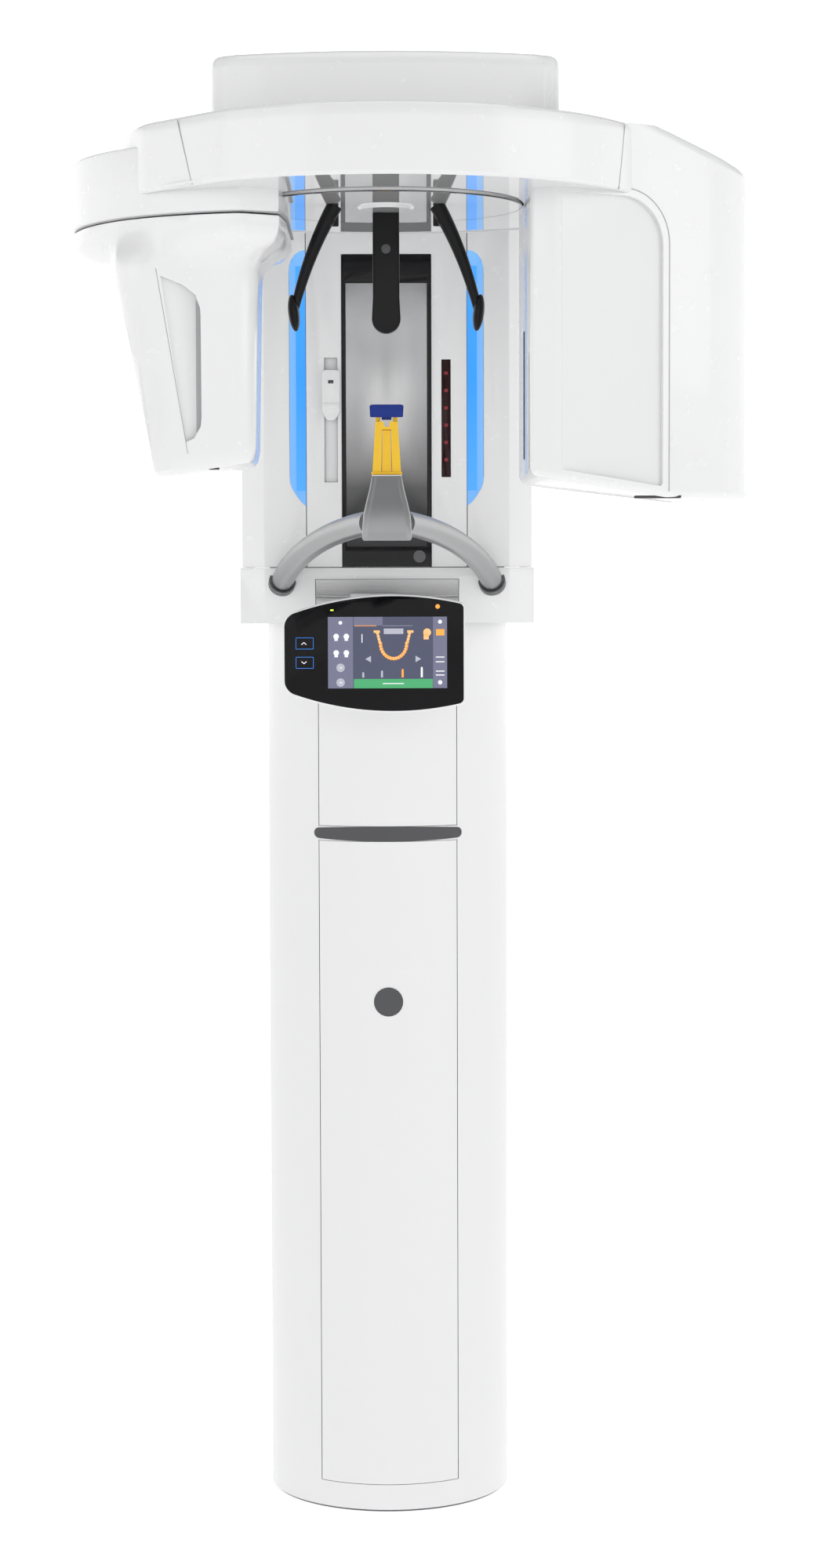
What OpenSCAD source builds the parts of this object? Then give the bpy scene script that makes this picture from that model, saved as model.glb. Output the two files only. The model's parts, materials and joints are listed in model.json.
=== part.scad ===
/* [Column] */
// radius of the round column front (mm)
column_r = 159; // [150:1:172]
// distance from the column axis to its flat back (mm)
column_back = 130; // [124:1:150]
// height of the fixed column (mm)
column_h = 1180; // [1175:1:1220]
// sheet thickness of the column shell (mm)
shell_t = 3; // [2:0.5:4]
// half width of the removable front panels (mm)
panel_half = 90; // [80:1:96]
// height of the panel's lower edge above the floor (mm)
panel_low = 36; // [20:1:80]
// top edge of the lower front panel (mm)
panel_split = 880; // [700:5:960]
// height of the dark strip between the panels (mm)
strip_h = 20; // [10:1:30]
// visible seam between neighbouring covers (mm)
seam = 0.8; // [0.4:0.1:1.5]
// thickness of the floor plate (mm)
base_t = 15; // [10:1:20]
// wall of the column's steel profile (mm)
frame_t = 12; // [6:1:14]
// length of the steel ballast block (mm)
ballast_h = 400; // [300:10:640]

/* [Lift] */
// half width of the sliding mast (mm)
mast_x = 70; // [60:1:74]
// wall of the mast (mm)
mast_t = 5; // [4:0.5:8]
// lower end of the mast as drawn (mm)
mast_low = 650; // [600:5:700]
// radius of the lead screw (mm)
screw_r = 12.5; // [10:0.5:16]
// running clearance of shafts and bearings, on the radius (mm)
run = 0.06; // [0.04:0.01:0.1]
// clearance between the guide shoes and the rails (mm)
guide_gap = 0.3; // [0.1:0.05:0.5]
// free space between the column and the sliding housing (mm)
sleeve_gap = 3; // [2:0.5:6]

/* [Housing] */
// half width of the housing behind the patient's mirror (mm)
house_x = 184; // [176:1:200]
// distance of the housing front ahead of the column axis (mm)
house_front = 222; // [214:1:240]
// lower edge of the handle block (mm)
block_low = 1162; // [1140:1:1180]
// height of the handle block (mm)
block_h = 71; // [60:1:90]
// distance of the block's top front edge ahead of the column axis (mm)
block_front = 224; // [222:1:234]
// how far the block's front slopes back towards its foot (mm)
block_slope = 32; // [10:1:36]
// wall of the plastic covers (mm)
cover_t = 3; // [2.5:0.5:4]
// half width of the centre panel (mm)
centre_x = 101; // [90:1:110]
// upper edge of the housing covers (mm)
house_top = 1702; // [1680:1:1704]
// width of the light bars (mm)
light_w = 20; // [12:1:26]
// lower end of the light bars (mm)
light_low = 1312; // [1260:1:1400]
// upper end of the light bars (mm)
light_high = 1628; // [1540:1:1680]

/* [Mirror] */
// half width of the black mirror frame (mm)
mirror_frame_x = 56; // [50:1:60]
// upper edge of the mirror frame (mm)
mirror_frame_top = 1625; // [1560:1:1660]
// half width of the mirror glass (mm)
mirror_x = 51.5; // [40:0.5:54]
// lower edge of the mirror glass (mm)
mirror_low = 1259; // [1250:1:1300]
// upper edge of the mirror glass (mm)
mirror_high = 1590; // [1500:1:1600]

/* [Arm] */
// half width of the overhead arm (mm)
arm_x = 180; // [176:1:190]
// reach of the arm ahead of the column axis (mm)
arm_reach = 870; // [864:1:900]
// radius of the arm's rounded front (mm)
arm_nose_r = 517; // [480:1:600]
// corner radius at the arm's front (mm)
arm_corner_r = 22; // [10:1:30]
// height of the arm's underside (mm)
arm_low = 1703; // [1702:0.5:1705]
// height of the arm's top at the front (mm)
arm_top_front = 1772; // [1768:1:1790]
// height of the arm's top over the column (mm)
arm_top_rear = 1845; // [1840:1:1880]

/* [Rotor] */
// distance of the turning axis ahead of the column axis (mm)
axis_y = 720; // [715:1:730]
// outer radius of the rotor's drum (mm)
drum_r = 286; // [270:1:300]
// lower edge of the drum (mm)
drum_low = 1627; // [1624:1:1632]
// height of the drum (mm)
drum_h = 69; // [64:1:71]
// radius of the rotor's bearing (mm)
bearing_r = 100; // [90:1:108]
// radius of the drive gear on the rotor (mm)
gear_r = 112; // [104:1:116]
// radius of the motor's pinion (mm)
pinion_r = 18; // [14:1:22]
// radius of the round disc that carries the head supports (mm)
disc_r = 150; // [120:1:165]

/* [Tube head] */
// distance of the tube head's inner face from the turning axis (mm)
tube_in = 152; // [146:1:170]
// distance of the tube head's outer face from the turning axis (mm)
tube_out = 396; // [380:1:420]
// height of the tube head's lower end (mm)
tube_low = 1306; // [1302:1:1340]
// radius of the X-ray tank (mm)
tank_r = 60; // [50:1:75]

/* [Sensor head] */
// distance of the sensor head's inner face from the turning axis (mm)
sensor_in = 137; // [134:1:150]
// distance of the sensor head's outer face from the turning axis (mm)
sensor_out = 287; // [270:1:300]
// height of the sensor head's lower end (mm)
sensor_low = 1338; // [1320:1:1380]
// depth of the sensor head (mm)
sensor_d = 160; // [120:1:180]
// radius of the sensor head's swivel shaft (mm)
swivel_r = 20; // [14:1:26]

/* [Supports] */
// distance of each temple pad from the middle (mm)
temple_x = 101; // [90:1:106]
// width of the forehead bar (mm)
forehead_w = 30; // [20:1:40]
// radius of the handle tubes (mm)
handle_r = 14; // [11:0.5:17]
// distance of the handle sockets from the middle (mm)
handle_x = 134; // [120:1:145]
// distance of the bite tower ahead of the column axis (mm)
bite_y = 650; // [640:1:664]
// width of the bite block (mm)
bite_w = 37; // [28:1:44]

/* [Control panel] */
// width of the control panel (mm)
panel_w = 227; // [200:1:250]
// height of the control panel in its middle (mm)
panel_h = 147; // [130:1:160]
// radius of the panel's upper and lower edges (mm)
panel_arc = 375; // [250:5:600]
// how far right of the panel's middle those edges are widest apart (mm)
panel_apex = 24; // [0:1:40]
// thickness of the control panel (mm)
panel_t = 22; // [16:1:28]
// width of the lit display (mm)
display_w = 152.4; // [120:0.2:160]
// height of the lit display (mm)
display_h = 91.4; // [80:0.2:96]

/* [Hidden] */
$fn = 96;
e = 0.01;
panel_c = -16.5;
panel_y = -282;
pin_y = -234;
panel_z = 1126;
pivot_z = 1140;
band_top = drum_low + drum_h;
block_top = block_low + block_h;
in_r = column_r - shell_t;
in_back = column_back - shell_t;
strip_top = panel_split + strip_h;
plate_y = column_r + 7;
track_x = -70;
swivel_x = -212;
swivel_y = -axis_y - 40;
gear_z = 1736.5;
pinion_y = -axis_y + gear_r + pinion_r + 0.4;

// a box from its lower corner to its upper corner
module span(a, b) { translate(a) cube([b[0] - a[0], b[1] - a[1], b[2] - a[2]]); }
// a centred rectangle with round corners
module rrect(w, d, r) {
  square([w - 2 * r, d], center = true);
  square([w, d - 2 * r], center = true);
  for (i = [-1, 1], j = [-1, 1]) translate([i * (w / 2 - r), j * (d / 2 - r)]) circle(r = r);
}
// the D-shaped plan of the column
module dee(r, back) {
  intersection() { circle(r = r, $fn = 160); translate([-r - 1, -r - 1]) square([2 * r + 2, r + 1]); }
  translate([-r, 0]) square([2 * r, back]);
}
// a profile drawn as (y, z) and drawn out along x
module along_x(x0, x1) {
  translate([x0, 0, 0]) rotate([90, 0, 90]) linear_extrude(height = x1 - x0) children();
}
// a profile drawn as (x, z) and drawn out from y0 back to y1
module along_y(y0, y1) {
  translate([0, y1, 0]) rotate([90, 0, 0]) linear_extrude(height = y1 - y0) children();
}
// a rod between two points
module rod(a, b, r) {
  v = b - a; l = norm(v);
  translate(a) rotate([0, acos(v[2] / l), atan2(v[1], v[0])]) cylinder(r = r, h = l, $fn = 48);
}

// ---- the stand ----
module base_plate() color("DimGray") difference() {
  linear_extrude(height = base_t) dee(in_r - 0.5, in_back - 0.5);
  for (x = [-135, 135], y = [-30, 100]) translate([x, y, -1]) cylinder(r = 7, h = base_t + 2);
}
module column_frame() color("DimGray") {
  difference() {
    union() {
      span([-112, -72, base_t], [112, 110, column_h - 10]);
    }
    span([-112 + frame_t, -73, base_t - 1], [112 - frame_t, 110 - frame_t, column_h]);
    for (y = [-40, 60]) for (s = [-1, 1]) translate([s * 106, y, base_t - 1]) cylinder(r = 4, h = 26);
  }
  for (s = [-1, 1]) {
    span([min(s * 85, s * (112 - frame_t)), -72, 60], [max(s * 85, s * (112 - frame_t)), -66, 1120]);
    for (z = [120, 1100]) span([min(s * 112, s * in_r), 20, z], [max(s * 112, s * in_r), 60, z + 6]);
  }
}
module column_shell() color("White") difference() {
  translate([0, 0, 3]) linear_extrude(height = column_h - 3) dee(column_r, column_back);
  translate([0, 0, 2]) linear_extrude(height = column_h - 6) dee(in_r, in_back);
  span([-panel_half, -column_r - 1, panel_low], [panel_half, -40, column_h - 4]);
  span([-mast_x - 3, -73, column_h - 10], [mast_x + 3, 43, column_h + 1]);
  for (s = [-1, 1]) translate([s * 60, in_back - 1, 1090]) rotate([-90, 0, 0]) cylinder(r = 10.3, h = 8);
}
module panel_sector(z0, z1, g) {
  intersection() {
    translate([0, 0, z0]) linear_extrude(height = z1 - z0) difference() {
      circle(r = column_r, $fn = 160);
      circle(r = in_r, $fn = 160);
    }
    span([-panel_half + g, -column_r - 1, z0], [panel_half - g, 0, z1]);
  }
  for (s = [-1, 1]) translate([0, 0, z0 + 30]) linear_extrude(height = z1 - z0 - 60) intersection() {
    circle(r = in_r + 1, $fn = 160);
    translate([s * 87.5 - 1.5, -in_r - 2]) square([3, in_r + 2 - 72]);
  }
}
module front_panel() color("White") panel_sector(panel_low + seam, panel_split, seam);
module upper_panel() color("White") panel_sector(strip_top, column_h - 4 - seam, seam);
module slot_trim() color("DarkSlateGray") intersection() {
  translate([0, 0, panel_split]) linear_extrude(height = strip_h) difference() {
    circle(r = column_r - 0.4, $fn = 160);
    circle(r = in_r - 6, $fn = 160);
  }
  span([-panel_half + 0.1, -column_r - 1, panel_split], [panel_half - 0.1, -60, strip_top]);
}
module guide_rails() color("Silver") for (s = [-1, 1])
  span([min(s * 92, s * (112 - frame_t)), -30, 60], [max(s * 92, s * (112 - frame_t)), 0, 1136]);
module top_guides() color("DimGray") for (s = [-1, 1])
  span([min(s * (mast_x + guide_gap), s * (112 - frame_t)), -50, 1138],
       [max(s * (mast_x + guide_gap), s * (112 - frame_t)), 20, column_h - 12]);
module lift_motor() color("DimGray") translate([0, -15, base_t]) difference() {
  union() { cylinder(r = 42, h = 70); cylinder(r = 48, h = 8); }
  translate([0, 0, 13]) cylinder(r = 10 + run, h = 70);
}
module power_supply() color("Silver") {
  span([-78, 52, 660], [78, 110 - frame_t, 900]);
  span([-60, 46, 690], [60, 52, 870]);
}
module ballast_block() color("DimGray") span([-88, 46, base_t], [88, 110 - frame_t, base_t + ballast_h]);
module wall_bracket() color("DimGray") {
  difference() {
    span([-110, column_back, 1040], [110, column_back + 8, 1140]);
    for (x = [-90, 90], z = [1060, 1120]) translate([x, column_back - 1, z]) rotate([-90, 0, 0]) cylinder(r = 5, h = 12);
  }
  for (s = [-1, 1]) translate([s * 60, 110, 1090]) rotate([-90, 0, 0]) cylinder(r = 10, h = column_back + 1 - 110);
}
module frame_bolts() color("Silver") for (y = [-40, 60]) for (s = [-1, 1])
  translate([s * 106, y, base_t + e]) cylinder(r = 3.9, h = 22);

// ---- the lift ----
module lead_screw() color("Silver") {
  translate([0, -15, 100]) cylinder(r = screw_r, h = 1025);
  translate([0, -15, base_t + 15]) cylinder(r = 10, h = 90);
}
module mast() color("WhiteSmoke") difference() {
  span([-mast_x, -70, mast_low], [mast_x, 40, 1740]);
  span([-mast_x + mast_t, -70 + mast_t, mast_low - 1], [mast_x - mast_t, 40 - mast_t, 1741]);
}
module screw_nut() color("Goldenrod") difference() {
  union() {
    span([-mast_x + mast_t, -70 + mast_t, mast_low], [mast_x - mast_t, 40 - mast_t, mast_low + 12]);
    translate([0, -15, mast_low]) cylinder(r = 26, h = 46);
  }
  translate([0, -15, mast_low - 1]) cylinder(r = screw_r + run, h = 60);
}
module guide_shoes() color("DimGray") for (s = [-1, 1]) difference() {
  span([min(s * mast_x, s * 98), -45, mast_low + 5], [max(s * mast_x, s * 98), 15, mast_low + 85]);
  span([min(s * (92 - guide_gap), s * 120), -30 - guide_gap, mast_low], [max(s * (92 - guide_gap), s * 120), guide_gap, mast_low + 90]);
}

// ---- the housing ----
function slope_y(z) = -block_front + block_slope * (block_top - 11 - z) / (block_h - 11);
module block_body(t) intersection() {
  translate([0, 0, block_low + t]) linear_extrude(height = block_h + t)
    polygon([[-house_x - 3 + t, 110 - t], [-house_x - 3 + t, -block_front + 29 + 0.4 * t], [-155 + 0.4 * t, -block_front + t],
      [155 - 0.4 * t, -block_front + t], [house_x + 3 - t, -block_front + 29 + 0.4 * t], [house_x + 3 - t, 110 - t]]);
  along_x(-house_x - 5, house_x + 5) polygon([[-block_front + t, block_top + (t > 0 ? 1 : 0)], [-block_front + t, block_top - 11],
    [slope_y(block_low) + 1.13 * t, block_low], [120, block_low], [120, block_top + (t > 0 ? 1 : 0)]]);
}
module lower_block() color("White") difference() {
  block_body(0);
  block_body(4);
  translate([0, 0, block_low - 1]) linear_extrude(height = block_h + 2) {
    circle(r = column_r + sleeve_gap, $fn = 160);
    translate([-column_r - sleeve_gap, 0]) square([2 * (column_r + sleeve_gap), 140]);
  }
  along_x(-91, 91) polygon([[slope_y(block_top - 14) - 6, block_top - 14], [slope_y(block_low + 6) - 6, block_low + 6],
    [slope_y(block_low + 6) + 6, block_low + 6], [slope_y(block_top - 14) + 6, block_top - 14]]);
}
module block_cover() color("White") along_x(-91 + seam, 91 - seam)
  polygon([[slope_y(block_top - 14 - seam), block_top - 14 - seam], [slope_y(block_low + 6 + seam), block_low + 6 + seam],
    [slope_y(block_low + 6 + seam) + 5, block_low + 6 + seam], [slope_y(block_top - 14 - seam) + 5, block_top - 14 - seam]]);
module centre_panel() color("White") difference() {
  span([-centre_x, -house_front, block_top + seam], [centre_x, -plate_y - 6, house_top]);
  span([-centre_x + cover_t, -house_front + cover_t, block_top - 1], [centre_x - cover_t, -plate_y - 3, house_top + 1]);
  span([-mirror_frame_x - 0.4, -house_front - 1, block_top - 1], [mirror_frame_x + 0.4, -house_front + 10, mirror_frame_top + 0.4]);
  span([69.5, -house_front - 1, 1347], [80.5, -house_front + 10, 1494]);
  span([track_x - 8, -house_front - 1, 1341], [track_x + 8, -house_front + 10, 1496]);
}
module side_plan() polygon([[centre_x + seam, -plate_y - 6], [centre_x + seam, -house_front + 3],
  [centre_x + seam + 3, -house_front], [155, -house_front], [house_x, -house_front + 27], [house_x, 110],
  [house_x - cover_t, 110], [house_x - cover_t, -house_front + 28.5], [154, -house_front + cover_t],
  [centre_x + seam + cover_t, -house_front + cover_t], [centre_x + seam + cover_t, -plate_y - 9],
  [145, -plate_y - 9], [145, -plate_y - 6]]);
module side_shell() difference() {
  translate([0, 0, block_top + seam]) linear_extrude(height = house_top - block_top - seam) side_plan();
  span([centre_x - 1, -house_front - 1, light_low], [centre_x + seam + light_w, -house_front + 14, light_high]);
}
module side_shell_left() color("White") mirror([1, 0, 0]) side_shell();
module side_shell_right() color("White") side_shell();
module light_bars() color("DeepSkyBlue") for (s = [0, 1]) mirror([s, 0, 0]) difference() {
  span([centre_x + seam + cover_t, -house_front + 8, light_low + 0.5], [centre_x + seam + light_w - 0.3, -plate_y - 9, light_high - 0.5]);
  span([centre_x + seam + cover_t + 3, -house_front + 12, light_low + 4], [centre_x + seam + light_w - 3, -plate_y - 8, light_high - 4]);
}
module mirror_frame() color("Black") difference() {
  span([-mirror_frame_x, -house_front - 1, block_top + 2], [mirror_frame_x, -plate_y - 9, mirror_frame_top]);
  span([-mirror_x, -house_front - 2, mirror_low], [mirror_x, -house_front + 6, mirror_high]);
  span([-mirror_frame_x + 3, -house_front + 10, block_top + 6], [mirror_frame_x - 3, -plate_y - 8, mirror_frame_top - 4]);
  translate([41, -house_front - 2, 1247]) rotate([-90, 0, 0]) cylinder(r = 8, h = 5);
}
module mirror_glass() color("LightSteelBlue")
  span([-mirror_x + 0.3, -house_front, mirror_low + 0.3], [mirror_x - 0.3, -house_front + 6, mirror_high - 0.3]);
module distance_sensor() color("DimGray") translate([41, -house_front - 1.5, 1247]) rotate([-90, 0, 0]) cylinder(r = 7.7, h = 4.5);
module height_display() color("DarkRed") {
  span([69.8, -house_front + 0.6, 1347.3], [80.2, -house_front + 5, 1493.7]);
  span([65, -house_front + cover_t, 1340], [85, -plate_y - 9, 1500]);
}
module slider_track() color("Gainsboro") difference() {
  span([track_x - 11, -house_front + cover_t, 1335], [track_x + 11, -plate_y - 9, 1502]);
  span([track_x - 7, -house_front - 1, 1341], [track_x + 7, -house_front + 9, 1496]);
}
module localiser_slider() color("White") {
  span([track_x - 11, -house_front - 8, 1418], [track_x + 11, -house_front - 0.4, 1481]);
  span([track_x - 6.6, -house_front - 1, 1424], [track_x + 6.6, -house_front + 8.6, 1475]);
}

// ---- the arm ----
module arm_plan(t) {
  r = arm_nose_r - t; w = arm_x - t; c = arm_corner_r - t; cy = -arm_reach + arm_nose_r;
  k = sqrt((r - c) * (r - c) - (w - c) * (w - c));
  intersection() {
    translate([0, cy]) circle(r = r, $fn = 256);
    translate([-(w - c) * r / (r - c), -arm_reach - 1]) square([2 * (w - c) * r / (r - c), 400]);
  }
  translate([-w, cy - k]) square([2 * w, 110 - t - cy + k]);
  for (s = [-1, 1]) translate([s * (w - c), cy - k]) circle(r = c);
}
module arm_side(t) polygon([[-arm_reach - 1, arm_low - 1], [-arm_reach - 1, arm_top_front - t],
  [-arm_reach + 4, arm_top_front - t], [-250, arm_top_rear - t], [111, arm_top_rear - t], [111, arm_low - 1]]);
module arm_cover() color("White") difference() {
  intersection() {
    translate([0, 0, arm_low]) linear_extrude(height = 200) arm_plan(0);
    along_x(-arm_x - 1, arm_x + 1) arm_side(0);
  }
  intersection() {
    translate([0, 0, arm_low - 1]) linear_extrude(height = 200) arm_plan(cover_t);
    along_x(-arm_x, arm_x) arm_side(cover_t);
  }
  span([-arm_x + cover_t, 90, arm_low - 1], [arm_x - cover_t, 112, 1752]);
}
module arm_body() difference() {
  union() {
    span([-120, -plate_y - 6, 1740], [120, 95, 1832]);
    along_x(-125, 125) polygon([[-845, 1706], [-845, 1756], [-plate_y - 6, 1832], [-plate_y - 6, 1706]]);
    span([-150, -plate_y - 6, block_low + 4], [150, -plate_y, 1746]);
    // outriggers that carry the arm's cover and the top edges of the housing
    for (s = [-1, 1]) span([min(s * 120, s * (arm_x - cover_t)), -100, 1756], [max(s * 120, s * (arm_x - cover_t)), 60, 1762]);
    for (s = [-1, 1]) span([min(s * 125, s * (arm_x - cover_t)), -500, 1716], [max(s * 125, s * (arm_x - cover_t)), -470, 1722]);
  }
  span([-114, -plate_y + 4, 1746], [114, 89, 1826]);
  along_x(-120, 120) polygon([[-840, 1712], [-840, 1751.5], [-plate_y - 12, 1826], [-plate_y - 12, 1712]]);
  translate([0, -axis_y, 1700]) cylinder(r = bearing_r + 22, h = 37);
  translate([0, pinion_y, 1750]) cylinder(r = 32, h = 60);
}
module arm_deck() {
  // the deck inside the arm that the post and the drive motor hang from
  difference() {
    span([-120, -810, 1752], [120, -540, 1757]);
    along_x(-121, 121) polygon([[-811, 1755.2], [-811, 1800], [-800, 1800], [-790, 1757.5]]);
    translate([0, -axis_y, 1751]) cylinder(r = 25, h = 10);
    translate([0, pinion_y, 1751]) cylinder(r = 8, h = 10);
  }
  difference() {
    translate([0, -axis_y, 1712]) cylinder(r = bearing_r + 30, h = 22);
    translate([0, -axis_y, 1711]) cylinder(r = bearing_r + 22, h = 24);
    span([-150, -1000, 1700], [-120, -500, 1750]);
    span([120, -1000, 1700], [150, -500, 1750]);
    span([-150, -1000, 1700], [150, -840, 1750]);
  }
}
module arm_beam() color("Silver") { arm_body(); arm_deck(); }
module rotor_motor() color("DimGray") translate([0, pinion_y, 1757]) difference() {
  cylinder(r = 30, h = 38);
  translate([0, 0, -1]) cylinder(r = 5 + run, h = 36);
}
module slewing_bearing() color("Silver") translate([0, -axis_y, 1706]) difference() {
  cylinder(r = bearing_r + 22, h = 30);
  translate([0, 0, -1]) cylinder(r = bearing_r + run, h = 32);
}
module head_post() color("Silver") translate([0, -axis_y, 1630]) difference() {
  union() { cylinder(r = 25, h = 127); cylinder(r = 45, h = 6); }
  translate([0, 0, -1]) cylinder(r = 21, h = 140);
}
module head_disc() color("GhostWhite") {
  translate([0, -axis_y, 1617]) difference() {
    cylinder(r = disc_r, h = 13, $fn = 160);
    translate([0, 0, 4]) cylinder(r = disc_r - 4, h = 5, $fn = 160);
  }
  translate([0, -axis_y, 1621]) cylinder(r = 46, h = 5);
  // lugs for the supports
  difference() {
    for (s = [-1, 1], j = [-1, 1]) translate([s * 56, -axis_y - 31, 0])
      span([-8, min(j * 8.3, j * 12), 1600], [8, max(j * 8.3, j * 12), 1617.5]);
    for (s = [-1, 1]) translate([s * 56, -axis_y - 31, 1608]) rotate([90, 0, 0]) cylinder(r = 3 + run, h = 30, center = true);
  }
  difference() {
    for (s = [-1, 1]) span([min(s * (forehead_w / 2 + 0.4), s * (forehead_w / 2 + 5)), -axis_y + 20, 1596],
                           [max(s * (forehead_w / 2 + 0.4), s * (forehead_w / 2 + 5)), -axis_y + 40, 1617.5]);
    along_x(-30, 30) translate([-axis_y + 30, 1606]) circle(r = 3 + run);
  }
}

// ---- the supports ----
// the handle's centre line, a cubic curve from the block to the tower
function hand(s, t) = pow(1 - t, 3) * [s * handle_x, -214, 1211.5]
  + 3 * t * pow(1 - t, 2) * [s * (handle_x - 12), -280, 1246]
  + 3 * t * t * (1 - t) * [s * 74, -430, 1277] + pow(t, 3) * [s * 18, -bite_y + 6, 1282];
function unit(v) = v / norm(v);
function hand_dir(s, t) = unit(hand(s, t + 0.01) - hand(s, t - 0.01));
function hand_ring(s, t, r, n) = let (d = hand_dir(s, t), a = unit(cross(d, [0, 0, 1])), b = cross(a, d))
  [for (i = [0:n - 1]) hand(s, t) + r * (cos(360 * i / n) * a + sin(360 * i / n) * b)];
module handle_tubes() color("Silver") for (s = [-1, 1]) {
  n = 20; m = 14;
  polyhedron(points = [for (k = [0:m]) each hand_ring(s, k / m, handle_r, n)],
    faces = concat([[for (i = [0:n - 1]) i]], [[for (i = [n - 1:-1:0]) m * n + i]],
      [for (k = [0:m - 1], i = [0:n - 1]) [k * n + (i + 1) % n, k * n + i, (k + 1) * n + i]],
      [for (k = [0:m - 1], i = [0:n - 1]) [k * n + (i + 1) % n, (k + 1) * n + i, (k + 1) * n + (i + 1) % n]]));
}
module handle_sockets() color("Black") for (s = [-1, 1]) difference() {
  rod(hand(s, 0.01), hand(s, 0.05), handle_r + 3);
  rod(hand(s, -0.04), hand(s, 0.12), handle_r + 0.3);
}
module bite_tower() color("Silver") difference() {
  intersection() {
    along_y(-bite_y - 40, -bite_y + 40) polygon([[-28, 1262], [28, 1262], [26, 1292], [16.5, 1335], [-16.5, 1335], [-26, 1292]]);
    along_x(-40, 40) polygon([[-bite_y - 27, 1262], [-bite_y + 27, 1262], [-bite_y + 25, 1292], [-bite_y + 15, 1335],
      [-bite_y - 15, 1335], [-bite_y - 25, 1292]]);
  }
  span([-10.3, -bite_y - 8.3, 1300], [10.3, -bite_y + 8.3, 1336]);
}
module bite_stem() color("Gold") difference() {
  union() {
    span([-10, -bite_y - 8, 1303], [10, -bite_y + 8, 1337]);
    along_y(-bite_y - 9, -bite_y + 9) polygon([[-17, 1335.4], [17, 1335.4], [17, 1340], [12, 1396], [-12, 1396], [-17, 1340]]);
    for (s = [-1, 1]) translate([s * 9.5 - 2.5, -bite_y - 6, 1390]) cube([5, 12, 14]);
  }
  along_x(-20, 20) translate([-bite_y, 1400]) circle(r = 2 + run, $fn = 32);
  span([-4, -bite_y - 10, 1350], [4, -bite_y + 10, 1382]);
}
module bite_block() color("RoyalBlue") {
  translate([0, -bite_y, 0]) {
    span([-bite_w / 2, -9, 1406], [bite_w / 2, 9, 1409]);
    span([-bite_w / 2, -3, 1409], [bite_w / 2, 3, 1414]);
    span([-6, -4, 1396.6], [6, 4, 1406]);
    along_x(-13, 13) translate([0, 1400]) circle(r = 2, $fn = 32);
  }
}
module temple(s) {
  translate([0, -axis_y - 31 + 7, 0]) rotate([90, 0, 0]) linear_extrude(height = 14) intersection() {
    translate([s * (temple_x - 169), 1500]) difference() {
      circle(r = 175, $fn = 160);
      circle(r = 162, $fn = 160);
    }
    polygon([[s * 50, 1612], [s * 140, 1612], [s * 140, 1500], [s * 50, 1500]]);
  }
  translate([s * 56, -axis_y - 31, 1608]) rotate([90, 0, 0]) {
    cylinder(r = 8, h = 16, center = true);
    cylinder(r = 3, h = 23, center = true);
  }
  translate([s * (temple_x - 2), -axis_y - 31, 1502]) rotate([0, 90, 0]) cylinder(r = 13, h = 10, center = true);
}
module temple_arm_left() color("Black") difference() { temple(-1); }
module temple_arm_right() color("Black") difference() { temple(1); }
module forehead_rest() color("Black") {
  w = forehead_w; y = -axis_y + 30;
  span([-w / 2, y - 8, 1560], [w / 2, y + 8, 1606]);
  along_x(-w / 2, w / 2) translate([y, 1606]) circle(r = 8);
  along_x(-w / 2 - 4.5, w / 2 + 4.5) translate([y, 1606]) circle(r = 3);
  along_x(-w / 2, w / 2) polygon([[y - 8, 1562], [y + 8, 1562], [y + 24, 1506], [y + 8, 1506]]);
  translate([0, y + 24, 1506]) rotate([90, 0, 0]) cylinder(r = 16, h = 18);
  translate([0, y - 8, 1583]) rotate([90, 0, 0]) cylinder(r = 5.5, h = 3);
}

// ---- the control panel ----
module panel_bracket() color("WhiteSmoke") difference() {
  union() {
    along_x(panel_c - 30, panel_c + 30) polygon([[slope_y(1200) - 4, 1200], [slope_y(1172) - 4, 1172], [slope_y(1172), 1172], [slope_y(1200), 1200]]);
    span([panel_c - 14, pin_y, 1176], [panel_c + 14, slope_y(1192) - 1, 1192]);
    translate([panel_c, pin_y, 1176]) cylinder(r = 14, h = 16);
  }
  translate([panel_c, pin_y, 1160]) cylinder(r = 6 + run, h = 60);
}
module panel_yoke() color("DimGray") {
  x = panel_c; y = pin_y;
  translate([x, y, pivot_z + 4]) cylinder(r = 6, h = 1194 - pivot_z - 4);
  translate([x, y, 1149]) cylinder(r = 14, h = 26.6);
  span([x - 24, y - 12, pivot_z - 12], [x + 24, y + 12, pivot_z + 10]);
  difference() {
    for (s = [-1, 1]) span([x + min(s * 24, s * 30), y - 30, pivot_z - 14], [x + max(s * 24, s * 30), y + 12, pivot_z + 10]);
    along_x(x - 40, x + 40) translate([y - 22, pivot_z - 4]) circle(r = 4 + run, $fn = 48);
  }
}
module panel_plan(g) {
  // the panel's outline: a round-cornered block between two flat arcs
  intersection() {
    translate([panel_apex, -panel_arc + panel_h / 2 - g]) circle(r = panel_arc, $fn = 256);
    translate([panel_apex, panel_arc - panel_h / 2 + g]) circle(r = panel_arc, $fn = 256);
    rrect(panel_w - 2 * g, panel_h + 40, 14);
  }
}
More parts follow.
